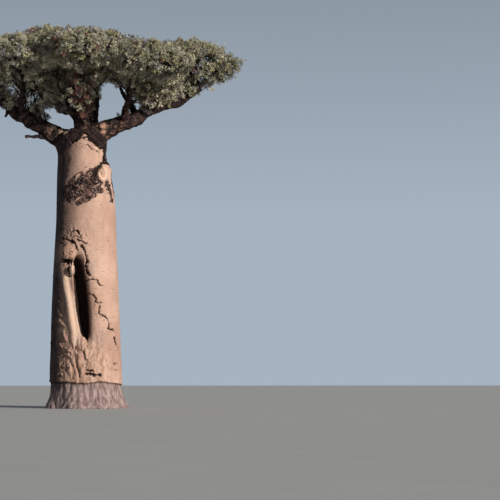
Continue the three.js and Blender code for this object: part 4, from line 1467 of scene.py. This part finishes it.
class Shader:
    """A short way to add and join nodes of one material."""

    def __init__(self, name, roughness, gloss=GLOSS):
        self.material = bpy.data.materials.new(name)
        self.material.use_nodes = True
        self.tree = self.material.node_tree
        self.surface = self.tree.nodes["Principled BSDF"]
        self.surface.inputs["Roughness"].default_value = roughness
        self.surface.inputs["Specular IOR Level"].default_value = gloss
        self.place = self.node("ShaderNodeTexCoord").outputs["Object"]

    def node(self, kind, **settings):
        node = self.tree.nodes.new(kind)
        for key, value in settings.items():
            setattr(node, key, value)
        return node

    def set(self, socket, value):
        if isinstance(value, bpy.types.NodeSocket):
            self.tree.links.new(value, socket)
        else:
            socket.default_value = value

    def noise(self, scale, detail=4.0, stretch=None, roughness=0.55, distortion=0.0, turn=0.0):
        node = self.node("ShaderNodeTexNoise")
        node.inputs["Scale"].default_value = scale
        node.inputs["Detail"].default_value = detail
        node.inputs["Roughness"].default_value = roughness
        node.inputs["Distortion"].default_value = distortion
        self.set(node.inputs["Vector"], self.stretched(stretch, turn))
        return node.outputs["Fac"]

    def stretched(self, stretch, turn=0.0):
        """The place on the piece, turned about Y and then stretched."""
        if stretch is None:
            return self.place
        place = self.place
        if turn:
            turned = self.node("ShaderNodeMapping")
            turned.inputs["Rotation"].default_value = (0, turn, 0)
            self.set(turned.inputs["Vector"], place)
            place = turned.outputs["Vector"]
        mapping = self.node("ShaderNodeMapping")
        mapping.inputs["Scale"].default_value = stretch
        self.set(mapping.inputs["Vector"], place)
        return mapping.outputs["Vector"]

    def ramp(self, value, low, high, start=0.0, end=1.0):
        node = self.node("ShaderNodeMapRange", interpolation_type="SMOOTHSTEP")
        self.set(node.inputs["Value"], value)
        for key, number in zip(("From Min", "From Max", "To Min", "To Max"), (low, high, start, end)):
            node.inputs[key].default_value = number
        return node.outputs["Result"]

    def height(self):
        parts = self.node("ShaderNodeSeparateXYZ")
        self.set(parts.inputs["Vector"], self.place)
        return parts.outputs["Z"]

    def attribute(self, name):
        return self.node("ShaderNodeAttribute", attribute_name=name).outputs["Fac"]

    def mix(self, share, a, b):
        node = self.node("ShaderNodeMix", data_type="RGBA", blend_type="MIX")
        self.set(node.inputs[0], share)
        self.set(node.inputs[6], a if isinstance(a, bpy.types.NodeSocket) else (*a, 1))
        self.set(node.inputs[7], b if isinstance(b, bpy.types.NodeSocket) else (*b, 1))
        return node.outputs[2]

    def math(self, operation, a, b):
        node = self.node("ShaderNodeMath", operation=operation)
        self.set(node.inputs[0], a)
        self.set(node.inputs[1], b)
        return node.outputs[0]

    def voronoi(self, scale, stretch):
        node = self.node("ShaderNodeTexVoronoi", feature="F1")
        node.inputs["Scale"].default_value = scale
        self.set(node.inputs["Vector"], self.stretched(stretch))
        return node.outputs["Distance"]

    def bump(self, height, distance, strength=1.0):
        """Relief too fine for the mesh."""
        node = self.node("ShaderNodeBump")
        node.inputs["Distance"].default_value = distance
        node.inputs["Strength"].default_value = strength
        self.set(node.inputs["Height"], height)
        self.set(self.surface.inputs["Normal"], node.outputs["Normal"])

    def finish(self, colour):
        self.set(self.surface.inputs["Base Color"], colour)
        return self.material


def rough_bark(bark, flakes, folds):
    """Colour of the rough dark bark: flaky on the patch, folded and specked near the fork, darkest at it,
    where painted shade joins the dark bark.
    """
    tones = TRUNK_TONES
    low, high = NECK_HEIGHTS
    colour = bark.mix(bark.ramp(flakes, 0.48, 0.72), tones["rough_dark"], tones["rough_brown"])
    neck = bark.ramp(bark.height(), high, low, 0.3, 1.0)
    folded = bark.math("MULTIPLY", bark.ramp(folds, 0.50, 0.60, 0, 0.75), neck)
    colour = bark.mix(folded, colour, tones["fold"])
    specks = bark.ramp(bark.noise(8.0, 3.0, roughness=0.6), 0.58, 0.66, 0, 0.8)
    colour = bark.mix(bark.math("MULTIPLY", specks, neck), colour, tones["speck"])
    # Painted shade over the dark bark towards the fork.
    return bark.mix(bark.ramp(bark.height(), low, high, 0, 0.6), colour, tones["fork"])


def trunk_bark():
    """Smooth pinkish-tan bark with fine rings and pits, tear lines and rough dark patches; painted shade on
    the left, in the cleft, in tears, pits and the ledge's seam and at the fork, and painted light on the
    lip's sunlit side and round the fork.
    """
    bark = Shader("trunk_bark", 0.8)
    tones = TRUNK_TONES
    clouds = bark.noise(0.7, 5.0, stretch=(1, 1, 0.6))
    streaks = bark.noise(3.2, 4.0, stretch=(1, 1, 0.22))
    rings = bark.noise(1.6, 3.0, stretch=(0.5, 0.5, 7.0), distortion=0.3)
    speckle = bark.noise(22.0, 3.0)
    fibres = bark.noise(6.0, 5.0, stretch=(1, 1, 0.25))
    flakes = bark.noise(4.5, 6.0, stretch=(1.0, 1.0, 0.8), roughness=0.7, distortion=0.7)
    folds = bark.noise(2.6, 4.0, stretch=(0.4, 1.0, 2.8), roughness=0.6, turn=math.radians(-38))

    colour = bark.mix(bark.ramp(clouds, 0.35, 0.65), tones["tan"], tones["pale_tan"])
    colour = bark.mix(bark.ramp(streaks, 0.48, 0.72, 0, 0.55), colour, tones["streak"])
    ringed = bark.math("MULTIPLY", bark.ramp(rings, 0.56, 0.74, 0, 0.5), bark.ramp(clouds, 0.4, 0.6))
    colour = bark.mix(ringed, colour, tones["ring"])
    colour = bark.mix(bark.ramp(speckle, 0.55, 0.75, 0, 0.3), colour, tones["streak"])
    dashes = bark.ramp(bark.voronoi(2.4, (1.0, 1.0, 5.0)), 0.20, 0.12)
    some = bark.ramp(bark.noise(1.3, 2.0), 0.44, 0.54)
    colour = bark.mix(bark.math("MULTIPLY", dashes, some), colour, tones["dash"])
    scar_marks = bark.ramp(bark.noise(5.0, 6.0, stretch=(1.0, 1.0, 0.5), distortion=0.8), 0.44, 0.62)
    scarred = bark.math("MULTIPLY", bark.attribute("scarred"), scar_marks)
    colour = bark.mix(bark.math("MULTIPLY", scarred, 0.75), colour, tones["scar"])

    threads = bark.noise(16.0, 4.0, stretch=(1, 1, 0.12), roughness=0.6)
    fibrous = bark.ramp(fibres, 0.35, 0.65)
    lilac = bark.mix(fibrous, tones["lilac_dark"], tones["lilac"])
    lilac = bark.mix(bark.ramp(threads, 0.50, 0.66, 0, 0.6), lilac, tones["thread"])
    # Grey-lilac fibrous bark on the foot and in mottles, and the lip's painted shade in lilac.
    colour = bark.mix(bark.attribute("grey_and_shade"), colour, lilac)
    drawn = bark.noise(3.4, 5.0, stretch=(0.55, 1.0, 1.8), roughness=0.62, turn=math.radians(40))
    rough = bark.math("ADD", bark.attribute("rough"), bark.math("MULTIPLY", drawn, 2.2))
    rough = bark.ramp(rough, 1.61, 1.73)
    colour = bark.mix(rough, colour, rough_bark(bark, flakes, folds))
    # Pale bark: painted light on the lip's sunlit side and round the fork, and the knot's pale ring.
    pale_edge = bark.math("ADD", bark.attribute("pale"), flakes)
    colour = bark.mix(bark.ramp(pale_edge, 1.08, 1.36, 0, 0.85), colour, tones["pale"])
    # Painted shade on the left side, away from the key light, with a fibrous texture.
    painted_shade_tone = bark.mix(fibrous, tones["painted_shade_dark"], tones["painted_shade_tone"])
    colour = bark.mix(bark.attribute("painted_shade"), colour, painted_shade_tone)
    # Painted shade in tears, pits and the seam of the ledge.
    colour = bark.mix(bark.attribute("recess_shade"), colour, tones["recess_shade"])
    # Painted shade deep in the cleft and on the bark that rolls into it.
    colour = bark.mix(bark.attribute("inside"), colour, tones["inside"])

    relief = bark.math("ADD", bark.math("MULTIPLY", rings, 0.5), bark.math("MULTIPLY", speckle, 0.3))
    relief = bark.math("ADD", relief, bark.math("MULTIPLY", flakes, rough))
    relief = bark.math("ADD", relief, bark.math("MULTIPLY", folds, rough))
    bark.bump(relief, 0.06, 0.8)
    return bark.finish(colour)


def bough_bark():
    """Very dark, wrinkled bark with warmer reddish-brown humps, pale ones near the fork as painted light, and
    painted shade in the hollows between the lumps.
    """
    bark = Shader("bough_bark", 0.85)
    tones = BOUGH_TONES
    wrinkles = bark.noise(6.5, 6.0, roughness=0.68, distortion=0.4)
    grain = bark.noise(14.0, 4.0, stretch=(0.5, 1.0, 1.0), roughness=0.65)
    lumps = bark.attribute("lumps")
    colour = bark.mix(bark.ramp(wrinkles, 0.42, 0.70), tones["dark"], tones["brown"])
    warm = bark.math("MULTIPLY", bark.attribute("warm"), bark.ramp(lumps, 0.35, 0.75))
    warm = bark.math("MULTIPLY", warm, bark.ramp(grain, 0.46, 0.60))
    colour = bark.mix(warm, colour, tones["warm"])
    # Painted shade in the hollows between the lumps.
    colour = bark.mix(bark.ramp(lumps, 0.42, 0.15, 0, 0.8), colour, tones["hollow"])
    # Painted light: pale humps round the fork.
    pale_edge = bark.math("ADD", bark.attribute("pale"), wrinkles)
    colour = bark.mix(bark.ramp(pale_edge, 1.02, 1.34, 0, 0.9), colour, tones["pale"])
    bark.bump(wrinkles, 0.07, 0.9)
    return bark.finish(colour)


def twig_bark():
    bark = Shader("twig_bark", 0.85)
    shade = bark.noise(9.0, 3.0)
    bark.bump(shade, 0.01)
    return bark.finish(bark.mix(bark.ramp(shade, 0.35, 0.65), *TWIG_TONES))


def leaf_finish(name, colour):
    """A leaf's tint, with small changes from leaf to leaf."""
    leaf = Shader("leaf_" + name, 0.62, LEAF_GLOSS)
    shade = leaf.noise(5.0, 2.0)
    darker = tuple(0.6 * c for c in colour)
    lighter = tuple(min(1, 1.28 * c) for c in colour)
    return leaf.finish(leaf.mix(leaf.ramp(shade, 0.3, 0.7), darker, lighter))


# Camera, light and floor.


def add_camera():
    """The photograph's camera, a long way in front of the trunk."""
    data = bpy.data.cameras.new("camera")
    data.sensor_width = SENSOR
    data.lens = FOCAL_PIXELS / IMAGE_PIXELS * SENSOR
    data.clip_end = FARTHEST
    camera = bpy.data.objects.new("camera", data)
    bpy.context.scene.collection.objects.link(camera)
    camera.location = EYE
    camera.rotation_euler = (math.pi / 2 + PITCH_UP, 0, -TURN_RIGHT)
    bpy.context.scene.camera = camera


def add_light():
    """A warm key light at the right of the front, under a sky that is palest near the horizon."""
    sun = bpy.data.lights.new("key", "SUN")
    sun.energy = KEY_STRENGTH
    sun.angle = KEY_SPREAD
    sun.color = KEY_COLOUR
    lamp = bpy.data.objects.new("key", sun)
    bpy.context.scene.collection.objects.link(lamp)
    towards = Vector(-direction(KEY_BEARING, KEY_RISE))
    lamp.rotation_euler = towards.to_track_quat("-Z", "Y").to_euler()
    world = bpy.data.worlds.new("pale_sky")
    world.use_nodes = True
    nodes, links = world.node_tree.nodes, world.node_tree.links
    place = nodes.new("ShaderNodeTexCoord")
    parts = nodes.new("ShaderNodeSeparateXYZ")
    height = nodes.new("ShaderNodeMapRange")
    height.inputs["From Min"].default_value = SKY_HEIGHTS[0]
    height.inputs["From Max"].default_value = SKY_HEIGHTS[1]
    tone = nodes.new("ShaderNodeMix")
    tone.data_type = "RGBA"
    tone.inputs[6].default_value = (*HORIZON, 1)
    tone.inputs[7].default_value = (*ZENITH, 1)
    links.new(place.outputs["Generated"], parts.inputs["Vector"])
    links.new(parts.outputs["Z"], height.inputs["Value"])
    links.new(height.outputs["Result"], tone.inputs[0])
    links.new(tone.outputs[2], nodes["Background"].inputs["Color"])
    bpy.context.scene.world = world
    bpy.context.scene.view_settings.view_transform = "Standard"


def add_floor():
    """A pale, faintly mottled floor."""
    bm = bmesh.new()
    bmesh.ops.create_grid(bm, x_segments=2, y_segments=2, size=FLOOR_HALF)
    mesh = bpy.data.meshes.new("floor")
    bm.to_mesh(mesh)
    bm.free()
    floor = new_object("floor", mesh)
    paper = Shader("floor_pale", 0.9)
    mottle = paper.noise(0.4, 2.0)
    mesh.materials.append(paper.finish(paper.mix(mottle, *FLOOR_TONES)))


def finish_piece(piece, material, nodes, smooth):
    """Gives a piece its material, hides the nodes of the frame that it replaces, and hangs it under the root
    body.
    """
    piece.data.materials.clear()
    piece.data.materials.append(material)
    piece.data.polygons.foreach_set("use_smooth", [smooth] * len(piece.data.polygons))
    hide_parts(*nodes)
    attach(piece, "root")


def grow_crown(spaces, limbs):
    """All twigs and leaves of the crown, as joined pieces of one kind and tint each."""
    balls = limb_balls(limbs)
    twigs, sprigs = Twigs(), []
    for index, name in enumerate(MASSES):
        grow_mass(name, index, spaces, balls, twigs, sprigs)
    grow_shoots(limbs, spaces, twigs, sprigs)
    grow_spurs(limbs, spaces, twigs, sprigs)
    roots, ends, faces_out, masses = (np.concatenate(parts) for parts in zip(*sprigs))
    rng = np.random.default_rng(FIRST_SEED)
    twigs.grow("sprig", roots, ends, rng)
    tints = tint_of(ends, masses, rng)
    place, size, frames, sprig = place_leaves(roots, ends, faces_out, rng)
    pieces = [("twigs", twigs.mesh("twigs"), twig_bark())]
    per_leaf = 2 * LEAFLETS + 1
    for number, name in enumerate(TINTS):
        chosen = np.flatnonzero(tints[sprig] == number)
        parts = max(1, math.ceil(len(chosen) * per_leaf / MOST_TRIANGLES))
        material = leaf_finish(name, TINTS[name][0])
        for part, some in enumerate(np.array_split(chosen, parts)):
            title = f"leaves_{name}_{part + 1}"
            mesh = leaf_mesh(title, place[some], size[some], [frame[some] for frame in frames])
            pieces.append((title, mesh, material))
    return pieces


SPACES = {name: Space(*values[:4]) for name, values in MASSES.items()}
TOTAL_SKIN = sum(skin_of(name, space) for name, space in SPACES.items())

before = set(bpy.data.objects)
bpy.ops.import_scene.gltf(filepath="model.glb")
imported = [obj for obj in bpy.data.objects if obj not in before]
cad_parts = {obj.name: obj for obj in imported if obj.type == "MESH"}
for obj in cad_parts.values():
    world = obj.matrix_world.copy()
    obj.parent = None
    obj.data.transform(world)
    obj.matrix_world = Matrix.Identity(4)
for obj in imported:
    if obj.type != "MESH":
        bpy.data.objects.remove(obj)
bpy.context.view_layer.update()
add_camera()
add_light()
add_floor()

limbs, carriers = grow_limbs(SPACES)
trunk = build_trunk(limbs)
finish_piece(trunk, trunk_bark(), ["trunk"], True)
boughs = build_boughs(limbs, carriers, SPACES)
finish_piece(boughs, bough_bark(), list(limbs), True)
for title, mesh, material in grow_crown(SPACES, limbs):
    piece = new_object(title, mesh)
    finish_piece(piece, material, list(MASSES), title == "twigs")
